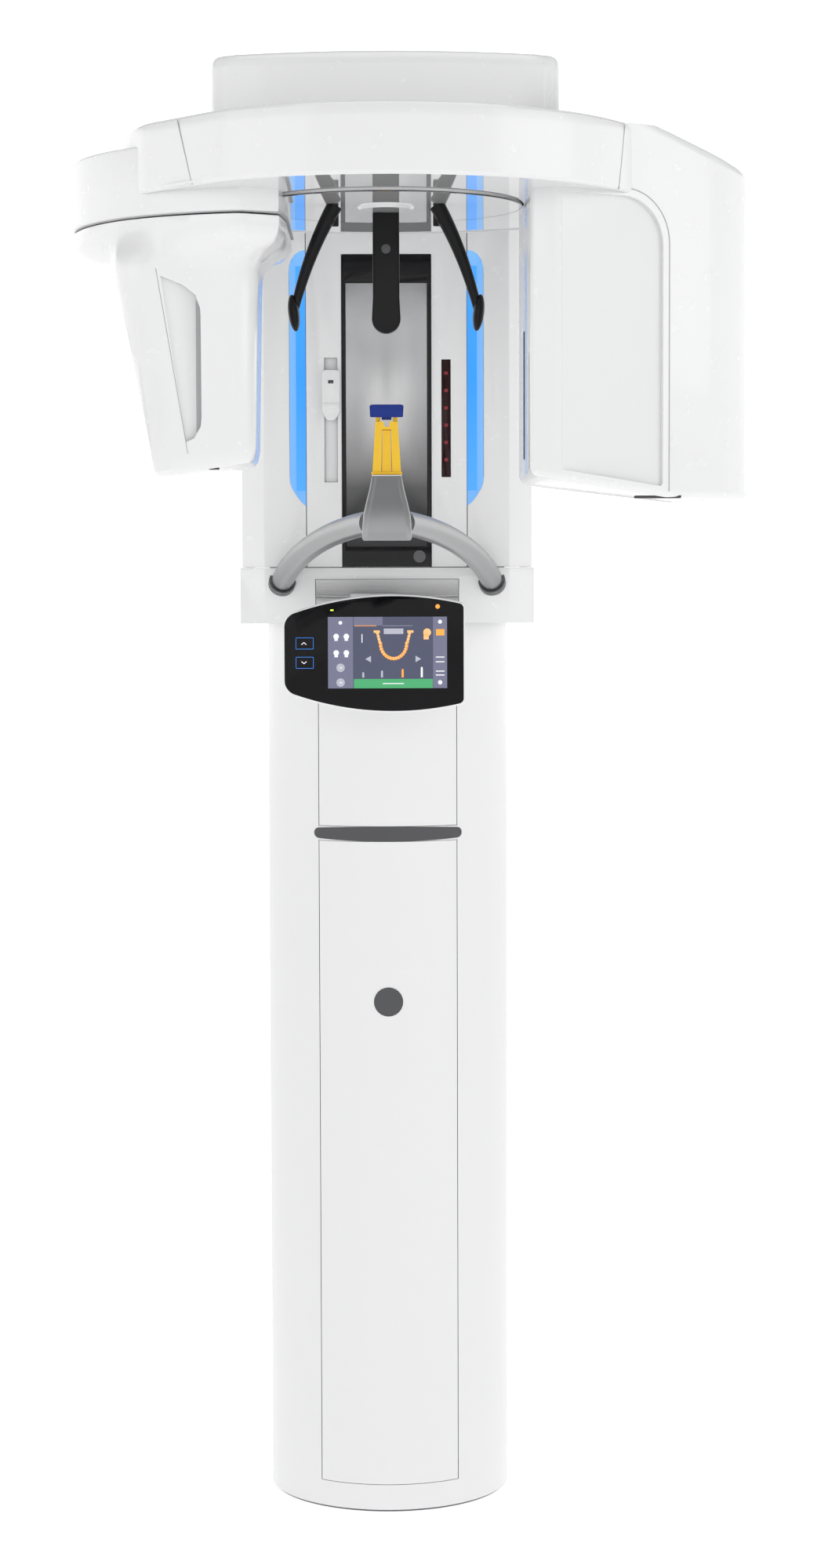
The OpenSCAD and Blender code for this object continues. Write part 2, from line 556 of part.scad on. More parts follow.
module panel_case() color("White") {
  difference() {
    translate([panel_c, panel_y + panel_t / 2, panel_z]) rotate([90, 0, 0]) linear_extrude(height = panel_t) panel_plan(0);
    translate([panel_c, panel_y - panel_t / 2 + 3, panel_z]) rotate([90, 0, 0]) linear_extrude(height = 20) panel_plan(2);
    span([panel_c - 85, panel_y - 5, panel_z - 55], [panel_c + 85, panel_y + panel_t / 2 - 3, panel_z + 55]);
  }
  // the tilt lug at the back
  span([panel_c - 23.5, panel_y + panel_t / 2, pivot_z - 12], [panel_c + 23.5, panel_y + panel_t / 2 + 20, pivot_z + 4]);
  along_x(panel_c - 34, panel_c + 34) translate([pin_y - 22, pivot_z - 4]) circle(r = 4, $fn = 48);
}
module panel_glass() color("Black") difference() {
  translate([panel_c, panel_y - panel_t / 2 + 3, panel_z]) rotate([90, 0, 0]) linear_extrude(height = 3) panel_plan(2.2);
  span([-display_w / 2, panel_y - panel_t / 2 - 1, 1080], [display_w / 2, panel_y - panel_t / 2 + 0.3, 1080 + display_h]);
}

// ---- the rotor ----
module lobe_plan(t) intersection() {
  translate([-97, -axis_y + 80]) circle(r = 254 - t, $fn = 160);
  translate([-360, -axis_y - 180]) square([252 - t, 320 - t]);
}
module tube_plan(t) polygon([[tube_in + t, -axis_y - 148 + t], [tube_in + 33, -axis_y - 160 + t], [305 - 0.4 * t, -axis_y - 92 + t],
  [362 - 0.6 * t, -axis_y - 45 + t], [tube_out - t, -axis_y + 5], [tube_out - t, -axis_y + 120 - t], [tube_out - 46, -axis_y + 160 - t],
  [tube_in + t, -axis_y + 160 - t]]);
module rotor_plan(t) {
  translate([0, -axis_y]) circle(r = drum_r - t, $fn = 200);
  tube_plan(t);
}
module rotor_shell() color("White") difference() {
  union() {
    intersection() {
      translate([0, 0, drum_low]) linear_extrude(height = drum_h) rotor_plan(0);
      along_y(-axis_y - 400, -axis_y + 400) polygon([[-400, drum_low], [-400, band_top], [290, band_top], [420, band_top - 46], [420, drum_low]]);
    }
    translate([0, 0, drum_low]) linear_extrude(height = 48) lobe_plan(0);
  }
  intersection() {
    translate([0, 0, drum_low - 1]) linear_extrude(height = drum_h - 2) rotor_plan(cover_t);
    along_y(-axis_y - 400, -axis_y + 400) polygon([[-400, drum_low - 1], [-400, band_top - 3], [290, band_top - 3], [420, band_top - 49], [420, drum_low - 1]]);
  }
  translate([0, 0, drum_low - 1]) linear_extrude(height = 46) lobe_plan(cover_t);
  translate([0, -axis_y, band_top - 10]) cylinder(r = 84, h = 20);
}
module rotor_neck() color("Silver") translate([0, -axis_y, 0]) difference() {
  union() {
    translate([0, 0, drum_low + 25]) cylinder(r = 110, h = 8);
    translate([0, 0, drum_low + 25]) cylinder(r = 80, h = 1712 - drum_low - 25);
    translate([0, 0, 1708]) cylinder(r = bearing_r, h = gear_z - 1708);
    translate([0, 0, gear_z]) cylinder(r = gear_r, h = 10, $fn = 160);
  }
  translate([0, 0, drum_low + 20]) cylinder(r = 62, h = 120);
}
module rotor_disc() difference() {
  union() {
    translate([0, 0, drum_low + 17]) linear_extrude(height = 8) {
      translate([0, -axis_y]) circle(r = drum_r - 22, $fn = 160);
      intersection() { lobe_plan(6); translate([-330, -axis_y - 80]) square([330, 200]); }
      intersection() { tube_plan(8); translate([0, -axis_y - 70]) square([360, 180]); }
    }
    // feet that the shell stands on
    for (a = [45:90:315]) translate([0, -axis_y, 0]) rotate(a) translate([230, 0, drum_low + 20]) cylinder(r = 10, h = drum_h - 23);
  }
  translate([0, -axis_y, drum_low]) cylinder(r = 62, h = 60);
  for (a = [67.5, 112.5, 247.5, 292.5]) translate([0, -axis_y, drum_low]) rotate(a) translate([185, 0, 0]) cylinder(r = 45, h = 40);
  translate([swivel_x, swivel_y, drum_low]) cylinder(r = swivel_r + run, h = 60);
}
module rotor_underside() color("White") difference() {
  translate([0, 0, drum_low + 2]) linear_extrude(height = 3) difference() {
    translate([0, -axis_y]) circle(r = drum_r - cover_t - 0.3, $fn = 200);
    translate([0, -axis_y]) circle(r = disc_r + 3, $fn = 160);
    lobe_plan(-1);
    tube_plan(-1);
  }
}
module rotor_hangers() {
  // spacers between the plate and the underside panel
  for (a = [60, 120, 240, 300]) translate([0, -axis_y, 0]) rotate(a) translate([254, 0, drum_low + 5]) cylinder(r = 6, h = 14);
}
module rotor_plate() color("Silver") { rotor_disc(); rotor_hangers(); }
module tube_cover_outer() color("White") difference() {
  union() {
    intersection() {
      translate([0, 0, tube_low]) linear_extrude(height = drum_low - tube_low) difference() { tube_plan(0); tube_plan(cover_t); }
      span([306, -1200, tube_low], [500, 0, drum_low]);
    }
    intersection() {
      translate([0, 0, tube_low]) linear_extrude(height = 3) tube_plan(1);
      span([306, -1200, tube_low], [500, 0, drum_low]);
    }
  }
}
module tube_cover_inner() color("WhiteSmoke") difference() {
  union() {
    intersection() {
      translate([0, 0, tube_low + 12]) linear_extrude(height = drum_low - tube_low - 12) difference() { tube_plan(0); tube_plan(cover_t); }
      span([100, -1200, tube_low], [306 - seam, 0, drum_low]);
    }
    intersection() {
      translate([0, 0, tube_low + 12]) linear_extrude(height = 3) tube_plan(1);
      span([100, -1200, tube_low], [306 - seam, 0, drum_low]);
    }
  }
  span([tube_in - 1, -axis_y - 6, 1350], [tube_in + 4, -axis_y + 6, 1490]);
}
module xray_tank() color("Silver") {
  translate([270, -axis_y, 1400]) cylinder(r = tank_r, h = 170);
  for (j = [-1, 1]) span([240, min(-axis_y + j * 40, -axis_y + j * 50), 1569], [300, max(-axis_y + j * 40, -axis_y + j * 50), drum_low + 17]);
  span([tube_in + 34, -axis_y - 26, 1405], [230, -axis_y + 26, 1475]);
}
module collimator() color("DimGray") difference() {
  span([tube_in + 3, -axis_y - 36, 1340], [tube_in + 34, -axis_y + 36, 1500]);
  span([tube_in, -axis_y - 5, 1352], [tube_in + 35, -axis_y + 5, 1488]);
}
module sensor_collar() color("White") difference() {
  translate([0, 0, drum_low - 23]) linear_extrude(height = 23) lobe_plan(0);
  translate([0, 0, drum_low - 19]) linear_extrude(height = 30) lobe_plan(cover_t);
  translate([swivel_x, swivel_y, drum_low - 30]) cylinder(r = swivel_r + 2, h = 20);
  translate([0, -axis_y, drum_low - 12]) cylinder(r = disc_r + 2, h = 20, $fn = 160);
}
module sensor_body(t) intersection() {
  translate([(-sensor_in - sensor_out) / 2, -axis_y - 45, sensor_low + t]) linear_extrude(height = drum_low - 23.4 - sensor_low - 2 * t)
    rrect(sensor_out - sensor_in - 2 * t, sensor_d - 2 * t, 30 - t);
  along_y(-axis_y - 200, -axis_y + 100) polygon([[-sensor_out + t, drum_low], [-sensor_out + t, 1560], [-sensor_out + 34 + t, sensor_low],
    [-sensor_in - t, sensor_low], [-sensor_in - t, drum_low]]);
}
module sensor_shell() color("White") difference() {
  sensor_body(0);
  sensor_body(cover_t);
  translate([swivel_x, swivel_y, drum_low - 40]) cylinder(r = swivel_r, h = 60);
}
module pan_sensor() color("DimGray") span([-sensor_in - cover_t - 24, -axis_y - 80, 1370], [-sensor_in - cover_t, -axis_y + 0, 1530]);
module sensor_spindle() color("Silver") {
  translate([swivel_x, swivel_y, 1540]) cylinder(r = swivel_r, h = drum_low + 25 - 1540);
  translate([swivel_x, swivel_y, 1592]) cylinder(r = 36, h = drum_low - 26.4 - 1592);
  translate([swivel_x, swivel_y, drum_low + 25.3]) cylinder(r = 26, h = 8);
  translate([swivel_x, swivel_y, drum_low + 24]) cylinder(r = swivel_r, h = 4);
  span([swivel_x - 16, swivel_y - 16, 1380], [swivel_x + 16, swivel_y + 16, 1545]);
  span([swivel_x, -axis_y - 70, 1400], [-sensor_in - cover_t - 24, -axis_y - 30, 1420]);
  span([swivel_x, -axis_y - 70, 1480], [-sensor_in - cover_t - 24, -axis_y - 30, 1500]);
}
module motor_pinion() color("Goldenrod") {
  translate([0, pinion_y, gear_z]) cylinder(r = pinion_r, h = 10);
  translate([0, pinion_y, gear_z]) cylinder(r = 5, h = 54);
}

base_plate();
column_frame();
column_shell();
front_panel();
upper_panel();
slot_trim();
guide_rails();
top_guides();
lift_motor();
power_supply();
ballast_block();
wall_bracket();
frame_bolts();
lead_screw();
mast();
screw_nut();
guide_shoes();
lower_block();
block_cover();
centre_panel();
side_shell_left();
side_shell_right();
light_bars();
mirror_frame();
mirror_glass();
distance_sensor();
height_display();
slider_track();
arm_beam();
arm_cover();
rotor_motor();
slewing_bearing();
head_post();
head_disc();
handle_tubes();
handle_sockets();
bite_tower();
panel_bracket();
localiser_slider();
motor_pinion();
rotor_neck();
rotor_plate();
rotor_shell();
rotor_underside();
tube_cover_outer();
tube_cover_inner();
xray_tank();
collimator();
sensor_collar();
sensor_shell();
pan_sensor();
sensor_spindle();
temple_arm_left();
temple_arm_right();
forehead_rest();
panel_yoke();
panel_case();
panel_glass();
bite_stem();
bite_block();
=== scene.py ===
"""Looks, light and camera for a floor-standing panoramic X-ray unit.

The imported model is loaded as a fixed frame. Each sub-assembly class below dresses
its own CAD nodes and builds the smoother pieces that stand for them.
"""

import json
import logging
import math
from dataclasses import dataclass, field
from enum import Enum
from typing import Callable, Iterable, Sequence

import bmesh
import bpy
from mathutils import Matrix, Vector

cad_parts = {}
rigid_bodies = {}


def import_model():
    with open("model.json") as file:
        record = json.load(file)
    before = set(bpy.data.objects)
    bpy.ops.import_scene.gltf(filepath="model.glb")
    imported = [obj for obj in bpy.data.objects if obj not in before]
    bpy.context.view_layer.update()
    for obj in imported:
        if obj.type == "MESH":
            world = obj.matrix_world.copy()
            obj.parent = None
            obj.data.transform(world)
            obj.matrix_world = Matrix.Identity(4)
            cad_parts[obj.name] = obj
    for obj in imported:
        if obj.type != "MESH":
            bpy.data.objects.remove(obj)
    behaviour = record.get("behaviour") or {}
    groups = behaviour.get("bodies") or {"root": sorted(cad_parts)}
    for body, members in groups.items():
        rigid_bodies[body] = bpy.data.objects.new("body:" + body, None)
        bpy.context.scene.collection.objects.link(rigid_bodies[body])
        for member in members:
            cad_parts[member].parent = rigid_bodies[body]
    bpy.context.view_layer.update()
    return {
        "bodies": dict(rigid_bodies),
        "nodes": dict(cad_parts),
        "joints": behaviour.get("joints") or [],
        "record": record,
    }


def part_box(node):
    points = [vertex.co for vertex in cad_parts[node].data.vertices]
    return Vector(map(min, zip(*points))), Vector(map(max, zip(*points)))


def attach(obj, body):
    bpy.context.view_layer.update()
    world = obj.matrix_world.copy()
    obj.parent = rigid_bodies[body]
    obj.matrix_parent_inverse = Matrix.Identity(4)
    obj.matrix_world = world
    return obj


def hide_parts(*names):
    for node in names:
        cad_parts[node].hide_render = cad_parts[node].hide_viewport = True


log = logging.getLogger("xray_unit")
Point2 = tuple[float, float]
Point3 = tuple[float, float, float]


class Axis(Enum):
    """The direction a profile is drawn out along."""

    X = "x"
    Y = "y"
    Z = "z"


class Side(Enum):
    """The viewer's side of the unit that a mirrored piece is on."""

    LEFT = -1
    RIGHT = 1

    @property
    def label(self) -> str:
        """Returns the side as pieces and bodies spell it."""
        return self.name.lower()


ROTOR_AXIS: Point2 = (0.0, -0.720)
SHARP = 32.0
SHARP_ON_FLATS = 6.0


# ---------------------------------------------------------------- finishes


@dataclass(frozen=True)
class Finish:
    """An even surface whose gloss varies a little, as moulded or painted parts do."""

    name: str
    colour: Point3
    roughness: float = 0.35
    metallic: float = 0.0
    coat: float = 0.0
    wear: float = 0.04
    grain: float = 60.0
    bump: float = 0.0
    stretch: Point3 = (1.0, 1.0, 1.0)
    glow: Point3 | None = None
    glow_strength: float = 0.0
    specular: float = 0.5

    def material(self) -> bpy.types.Material:
        """Returns this finish as a material, made once and then reused."""
        made = bpy.data.materials.get(self.name)
        if made is not None:
            return made
        made = bpy.data.materials.new(self.name)
        made.use_nodes = True
        self.dress(made.node_tree)
        return made

    def dress(self, tree: bpy.types.NodeTree) -> bpy.types.Node:
        """Wires the shader.

        Args:
            tree: the node tree of a new material.

        Returns:
            The Principled shader, for a finish that adds to it.
        """
        shader = tree.nodes["Principled BSDF"]
        shader.inputs["Base Color"].default_value = (*self.colour, 1.0)
        shader.inputs["Metallic"].default_value = self.metallic
        shader.inputs["Coat Weight"].default_value = self.coat
        shader.inputs["Coat Roughness"].default_value = 0.04
        shader.inputs["Specular IOR Level"].default_value = self.specular
        if self.glow is not None:
            shader.inputs["Emission Color"].default_value = (*self.glow, 1.0)
            shader.inputs["Emission Strength"].default_value = self.glow_strength
        noise = self.noise(tree, self.grain)
        span = tree.nodes.new("ShaderNodeMapRange")
        span.inputs["To Min"].default_value = max(self.roughness - self.wear, 0.02)
        span.inputs["To Max"].default_value = self.roughness + self.wear
        tree.links.new(noise.outputs["Fac"], span.inputs["Value"])
        tree.links.new(span.outputs["Result"], shader.inputs["Roughness"])
        if self.bump > 0.0:
            fine = self.noise(tree, self.grain * 12.0)
            bump = tree.nodes.new("ShaderNodeBump")
            bump.inputs["Strength"].default_value = self.bump
            bump.inputs["Distance"].default_value = 0.0004
            tree.links.new(fine.outputs["Fac"], bump.inputs["Height"])
            tree.links.new(bump.outputs["Normal"], shader.inputs["Normal"])
        return shader

    def noise(self, tree: bpy.types.NodeTree, scale: float) -> bpy.types.Node:
        """Returns a noise texture of that scale on the piece's own coordinates."""
        coords = tree.nodes.new("ShaderNodeTexCoord")
        mapping = tree.nodes.new("ShaderNodeMapping")
        mapping.inputs["Scale"].default_value = self.stretch
        noise = tree.nodes.new("ShaderNodeTexNoise")
        noise.inputs["Scale"].default_value = scale
        noise.inputs["Detail"].default_value = 3.0
        tree.links.new(coords.outputs["Object"], mapping.inputs["Vector"])
        tree.links.new(mapping.outputs["Vector"], noise.inputs["Vector"])
        return noise


@dataclass(frozen=True)
class GradedFinish(Finish):
    """A finish whose colour runs from one height to another, such as a lit bar, or a mirror's painted reflection."""

    stops: tuple[tuple[float, Point3], ...] = ()
    low: float = 0.0
    high: float = 1.0
    glowing: bool = False
    tinted: bool = True

    def dress(self, tree: bpy.types.NodeTree) -> bpy.types.Node:
        """Adds the colour ramp along height to the even finish.

        Args:
            tree: the node tree of a new material.

        Returns:
            The Principled shader.
        """
        shader = super().dress(tree)
        coords = tree.nodes.new("ShaderNodeTexCoord")
        split = tree.nodes.new("ShaderNodeSeparateXYZ")
        span = tree.nodes.new("ShaderNodeMapRange")
        span.inputs["From Min"].default_value = self.low
        span.inputs["From Max"].default_value = self.high
        ramp = tree.nodes.new("ShaderNodeValToRGB")
        first, last = ramp.color_ramp.elements[0], ramp.color_ramp.elements[1]
        first.position, first.color = self.stops[0][0], (*self.stops[0][1], 1.0)
        last.position, last.color = self.stops[-1][0], (*self.stops[-1][1], 1.0)
        for place, colour in self.stops[1:-1]:
            ramp.color_ramp.elements.new(place).color = (*colour, 1.0)
        tree.links.new(coords.outputs["Object"], split.inputs["Vector"])
        tree.links.new(split.outputs["Z"], span.inputs["Value"])
        tree.links.new(span.outputs["Result"], ramp.inputs["Fac"])
        if self.tinted:
            tree.links.new(ramp.outputs["Color"], shader.inputs["Base Color"])
        if self.glowing:
            tree.links.new(ramp.outputs["Color"], shader.inputs["Emission Color"])
            shader.inputs["Emission Strength"].default_value = self.glow_strength
        return shader


SHELL_WHITE = Finish("shell white", (0.80, 0.80, 0.805), 0.30, coat=0.35, bump=0.02)
COVER_WHITE = Finish("cover white", (0.79, 0.792, 0.796), 0.26, coat=0.5, bump=0.01)
UNDERSIDE_WHITE = Finish("underside white", (0.76, 0.765, 0.77), 0.03, coat=1.0, wear=0.01)
COVER_GREY = Finish("cover grey", (0.60, 0.605, 0.61), 0.34, coat=0.25, bump=0.02)
FACE_WHITE = Finish("face white", (0.74, 0.742, 0.746), 0.34, coat=0.3, bump=0.01)
TRACK_WHITE = Finish("track white", (0.74, 0.745, 0.75), 0.4, bump=0.02)
STRIP_GREY = Finish("strip grey", (0.065, 0.065, 0.07), 0.42, bump=0.03)
# Grey for the seams and joints, and also for the painted shade strip in the sensor head's scoop.
SEAM_AND_SHADE_GREY = Finish("seam grey", (0.42, 0.42, 0.43), 0.7)
DEEP_SHADE = Finish("deep shade", (0.05, 0.05, 0.055), 0.7)
FRAME_STEEL = Finish("frame steel", (0.13, 0.135, 0.14), 0.45, bump=0.08, grain=90.0)
GROUND_STEEL = Finish("ground steel", (0.52, 0.53, 0.54), 0.25, 1.0, stretch=(1, 1, 0.04))
CAST_BALLAST = Finish("cast ballast", (0.09, 0.09, 0.092), 0.7, bump=0.3, grain=40.0)
GUIDE_PLASTIC = Finish("guide plastic", (0.06, 0.06, 0.062), 0.5, bump=0.05)
MOTOR_BLACK = Finish("motor black", (0.03, 0.03, 0.032), 0.4, bump=0.05)
RAW_ALUMINIUM = Finish("raw aluminium", (0.63, 0.64, 0.65), 0.34, 1.0, stretch=(1, 1, 0.06))
HANDLE_SILVER = Finish("handle silver", (0.31, 0.313, 0.318), 0.30, 0.95, wear=0.03, bump=0.03)
SOCKET_SILVER = Finish("socket silver", (0.16, 0.162, 0.166), 0.36, 0.9, bump=0.03)
BRONZE = Finish("bronze", (0.6, 0.4, 0.16), 0.3, 1.0)
FRAME_BLACK = Finish("frame black", (0.006, 0.006, 0.007), 0.14, specular=0.3)
SENSOR_GLASS = Finish("sensor glass", (0.02, 0.02, 0.026), 0.06, coat=1.0)
DISPLAY_RED = Finish("display red", (0.018, 0.001, 0.002), 0.10, specular=0.25)
SEGMENT_RED = Finish("segment red", (0.16, 0.004, 0.012), 0.3, glow=(0.5, 0.0, 0.02), glow_strength=0.12)
TANK_METAL = Finish("tank metal", (0.42, 0.43, 0.44), 0.4, 1.0)
COLLIMATOR_DARK = Finish("collimator dark", (0.05, 0.05, 0.055), 0.4)
SUPPORT_BLACK = Finish("support black", (0.003, 0.003, 0.004), 0.30, bump=0.02, specular=0.22)
YOKE_GREY = Finish("yoke grey", (0.24, 0.24, 0.25), 0.4, bump=0.04)
STEM_YELLOW = Finish("stem yellow", (0.93, 0.56, 0.012), 0.38, bump=0.02)
BITE_BLUE = Finish("bite blue", (0.002, 0.026, 0.24), 0.34, bump=0.02, specular=0.3)
PANEL_BLACK = Finish("panel black", (0.002, 0.002, 0.003), 0.08, specular=0.18)
# A silvered mirror whose colour is a painted reflection: near black at the bottom, light grey at the top.
MIRROR_PAINTED_REFLECTION = GradedFinish(
    "mirror silver", (0.5, 0.5, 0.5), 0.22, 0.75, wear=0.01,
    stops=(
        (0.0, (0.035, 0.035, 0.037)), (0.22, (0.11, 0.11, 0.112)), (0.42, (0.42, 0.42, 0.425)),
        (0.6, (0.60, 0.60, 0.605)), (1.0, (0.66, 0.66, 0.665)),
    ),
    low=1.26, high=1.59,
)
LIGHT_BLUE = GradedFinish(
    "light blue", (0.02, 0.10, 0.30), 0.4, glow=(0.06, 0.36, 1.0), glow_strength=0.9, specular=0.1,
    stops=((0.0, (0.11, 0.42, 1.0)), (0.5, (0.05, 0.345, 1.0)), (1.0, (0.08, 0.40, 1.0))),
    low=1.31, high=1.63, glowing=True, tinted=False,
)
# Painted light: the well round each light bar glows pale blue, standing in for the bar's light falling on it.
LIGHT_SPILL_PAINTED = Finish("light pale", (0.10, 0.2, 0.32), 0.4, glow=(0.20, 0.50, 1.0), glow_strength=0.75, specular=0.1)
PALE_FLOOR = Finish("pale floor", (0.93, 0.93, 0.93), 0.9, glow=(1.0, 1.0, 1.0), glow_strength=0.50, specular=0.0)


def lit(name: str, colour: Point3, strength: float = 0.8) -> Finish:
    """Returns a flat finish for something that the display shows.

    Args:
        name: the finish's name.
        colour: its colour, also that of its light.
        strength: how brightly it is lit.
    """
    return Finish(name, tuple(c * 0.4 for c in colour), 0.35, glow=colour, glow_strength=strength)


# ---------------------------------------------------------------- shaping


class Shaper:
    """A piece in the making: bmesh operators under workshop names."""

    def __init__(self) -> None:
        """Starts with an empty mesh."""
        self.bm = bmesh.new()

    @property
    def everything(self) -> list:
        """Returns all of the mesh's vertices, edges and faces."""
        return [*self.bm.verts, *self.bm.edges, *self.bm.faces]

    def dot_at(self, place: Sequence[float]) -> bmesh.types.BMVert:
        """Returns a new vertex at that place."""
        return bmesh.ops.create_vert(self.bm, co=place)["vert"][0]

    def outward(self) -> None:
        """Turns every face outwards."""
        bmesh.ops.recalc_face_normals(self.bm, faces=list(self.bm.faces))

    def face(self, corners: Sequence[Point3]) -> bmesh.types.BMFace:
        """Returns one flat face between a few corners."""
        return self.bm.faces.new([self.dot_at(c) for c in corners])

    def pull(self, face: bmesh.types.BMFace, by: Vector) -> list[bmesh.types.BMVert]:
        """Draws a face out into a solid.

        Args:
            face: the face that is drawn out. It stays as the solid's other end.
            by: how far and which way.

        Returns:
            The vertices of the far end.
        """
        made = bmesh.ops.extrude_face_region(self.bm, geom=[face], use_keep_orig=True)
        far = [g for g in made["geom"] if isinstance(g, bmesh.types.BMVert)]
        bmesh.ops.translate(self.bm, verts=far, vec=by)
        return far

    def soften(self, edges: Iterable[bmesh.types.BMEdge], width: float, segments: int) -> None:
        """Rounds some edges.

        Args:
            edges: the edges that are rounded.
            width: the radius, in metres.
            segments: how many flats make up the round.
        """
        chosen = [e for e in edges if e.is_valid]
        if chosen and width > 0.0:
            bmesh.ops.bevel(
                self.bm, geom=chosen, offset=width, offset_type="OFFSET", segments=segments,
                profile=0.5, affect="EDGES", clamp_overlap=True, material=-1,
            )

    def creases(self, degrees: float) -> list[bmesh.types.BMEdge]:
        """Returns the edges that turn by more than an angle."""
        self.bm.normal_update()
        limit = math.radians(degrees)
        return [e for e in self.bm.edges if len(e.link_faces) == 2 and e.calc_face_angle(0.0) > limit]

    def prism(
        self, corners: Sequence[Point2], low: float, high: float,
        round_by: float | Sequence[float] = 0.0, rim: float = 0.0, axis: Axis = Axis.Z, segments: int = 6,
    ) -> None:
        """Draws out a flat outline, with round corners and softened rims.

        Args:
            corners: the outline, in the plane across the axis.
            low: where it starts along the axis.
            high: where it ends.
            round_by: the radius of every corner, or one for each.
            rim: the radius of the two rims.
            axis: the direction it is drawn out along.
            segments: how many flats make up a corner.
        """
        place: dict[Axis, Callable[[Point2], Point3]] = {
            Axis.X: lambda c: (low, c[0], c[1]),
            Axis.Y: lambda c: (c[0], low, c[1]),
            Axis.Z: lambda c: (c[0], c[1], low),
        }
        along = {Axis.X: Vector((1, 0, 0)), Axis.Y: Vector((0, 1, 0)), Axis.Z: Vector((0, 0, 1))}[axis]
        before = set(self.bm.edges)
        seat = self.face([place[axis](c) for c in corners])
        starts = list(seat.verts)
        self.pull(seat, along * (high - low))
        radii = round_by if isinstance(round_by, Sequence) else [round_by] * len(corners)
        for corner, radius in zip(starts, radii):
            uprights = [
                e for e in corner.link_edges
                if abs((e.verts[0].co - e.verts[1].co).normalized().dot(along)) > 0.99
            ] if corner.is_valid else []
            self.soften(uprights, radius, segments)
        if rim > 0.0:
            self.bm.normal_update()
            rims = [
                e for e in self.bm.edges
                if e not in before and len(e.link_faces) == 2
                and abs((e.verts[0].co - e.verts[1].co).dot(along)) < 1e-6
                and e.calc_face_angle(0.0) > 1.0
            ]
            self.soften(rims, rim, 3)

    def block(self, low: Point3, high: Point3, edge: float) -> None:
        """Adds a box between two corners, its edges rounded to that radius."""
        lo, hi = Vector(low), Vector(high)
        made = bmesh.ops.create_cube(self.bm, size=1.0)["verts"]
        bmesh.ops.scale(self.bm, vec=hi - lo, verts=made)
        bmesh.ops.translate(self.bm, vec=(lo + hi) / 2, verts=made)
        if edge > 0.0:
            self.soften({e for v in made for e in v.link_edges}, edge, 2)

    def pair(self, low: Point3, high: Point3, edge: float) -> None:
        """Adds a box on the right and its mirror image on the left."""
        self.block((-high[0], *low[1:]), (-low[0], *high[1:]), edge)
        self.block(low, high, edge)

    def rod(
        self, start: Point3, end: Point3, radius: float, far_radius: float | None = None,
        sides: int = 40, edge: float = 0.0,
    ) -> None:
        """Adds a round bar or a cone between two points.

        Args:
            start: the centre of one end.
            end: the centre of the other.
            radius: the radius at the start.
            far_radius: the radius at the end, if it differs.
            sides: how many flats make it round.
            edge: the radius of its two rims.
        """
        a, b = Vector(start), Vector(end)
        made = bmesh.ops.create_cone(
            self.bm, cap_ends=True, segments=sides, radius1=radius,
            radius2=radius if far_radius is None else far_radius, depth=(b - a).length,
        )["verts"]
        turn = (b - a).to_track_quat("Z", "Y").to_matrix()
        bmesh.ops.rotate(self.bm, cent=(0, 0, 0), matrix=turn, verts=made)
        bmesh.ops.translate(self.bm, vec=(a + b) / 2, verts=made)
        if edge > 0.0:
            caps = {f for v in made for f in v.link_faces if len(f.verts) == sides}
            self.soften({e for f in caps for e in f.edges}, edge, 3)

    def turned(self, profile: Sequence[Point2], centre: Point3, steps: int = 160) -> None:
        """Turns a profile of (radius, height) round an upright axis.

        Args:
            profile: the section, from its first point to its last.
            centre: a point of the axis at height 0.
            steps: how many flats make up the full turn.
        """
        c = Vector(centre)
        verts = [self.dot_at((c.x + r, c.y, c.z + z)) for r, z in profile]
        edges = [self.bm.edges.new(pair) for pair in zip(verts, verts[1:])]
        bmesh.ops.spin(
            self.bm, geom=[*verts, *edges], cent=c, axis=(0, 0, 1), angle=math.tau, steps=steps,
            use_merge=True, use_duplicate=False,
        )

    def loft(self, rings: Sequence[Sequence[Point3]], capped: bool = True) -> None:
        """Joins rings of equally many points into a skin.

        Args:
            rings: the sections, from one end to the other.
            capped: whether the two ends are closed.
        """
        loops = []
        for ring in rings:
            made = bmesh.ops.create_circle(self.bm, cap_ends=False, segments=len(ring), radius=1.0)["verts"]
            for vert, place in zip(made, ring):
                vert.co = place
            loops.append(made)
        rims = [list({e for v in loop for e in v.link_edges}) for loop in loops]
        for first, second in zip(rims, rims[1:]):
            bmesh.ops.bridge_loops(self.bm, edges=[*first, *second])
        if capped:
            for rim in (rims[0], rims[-1]):
                bmesh.ops.edgeloop_fill(self.bm, edges=rim)

    def sweep(
        self, path: Sequence[Point3], width: float, depth: float | None = None,
        taper: Callable[[float], float] = lambda t: 1.0, sides: int = 24,
        side_on: Vector = Vector((0, 1, 0)),
    ) -> None:
        """Draws an oval along a path.

        Args:
            path: the centre line.
            width: half the oval's size across the path.
            depth: half its size the other way, if it differs.
            taper: the share of the size at a place from 0 to 1 along the path.
            sides: how many flats make up the oval.
            side_on: a direction that lies across the path all the way.
        """
        points = [Vector(p) for p in path]
        turns = [math.tau * k / sides for k in range(sides)]
        rings = []
        for i, point in enumerate(points):
            ahead = points[min(i + 1, len(points) - 1)] - points[max(i - 1, 0)]
            across = ahead.cross(side_on).normalized()
            up = across.cross(ahead).normalized()
            share = taper(i / (len(points) - 1))
            a, b = width * share, (width if depth is None else depth) * share
            rings.append([tuple(point + across * a * math.cos(turn) + up * b * math.sin(turn)) for turn in turns])
        self.loft(rings)

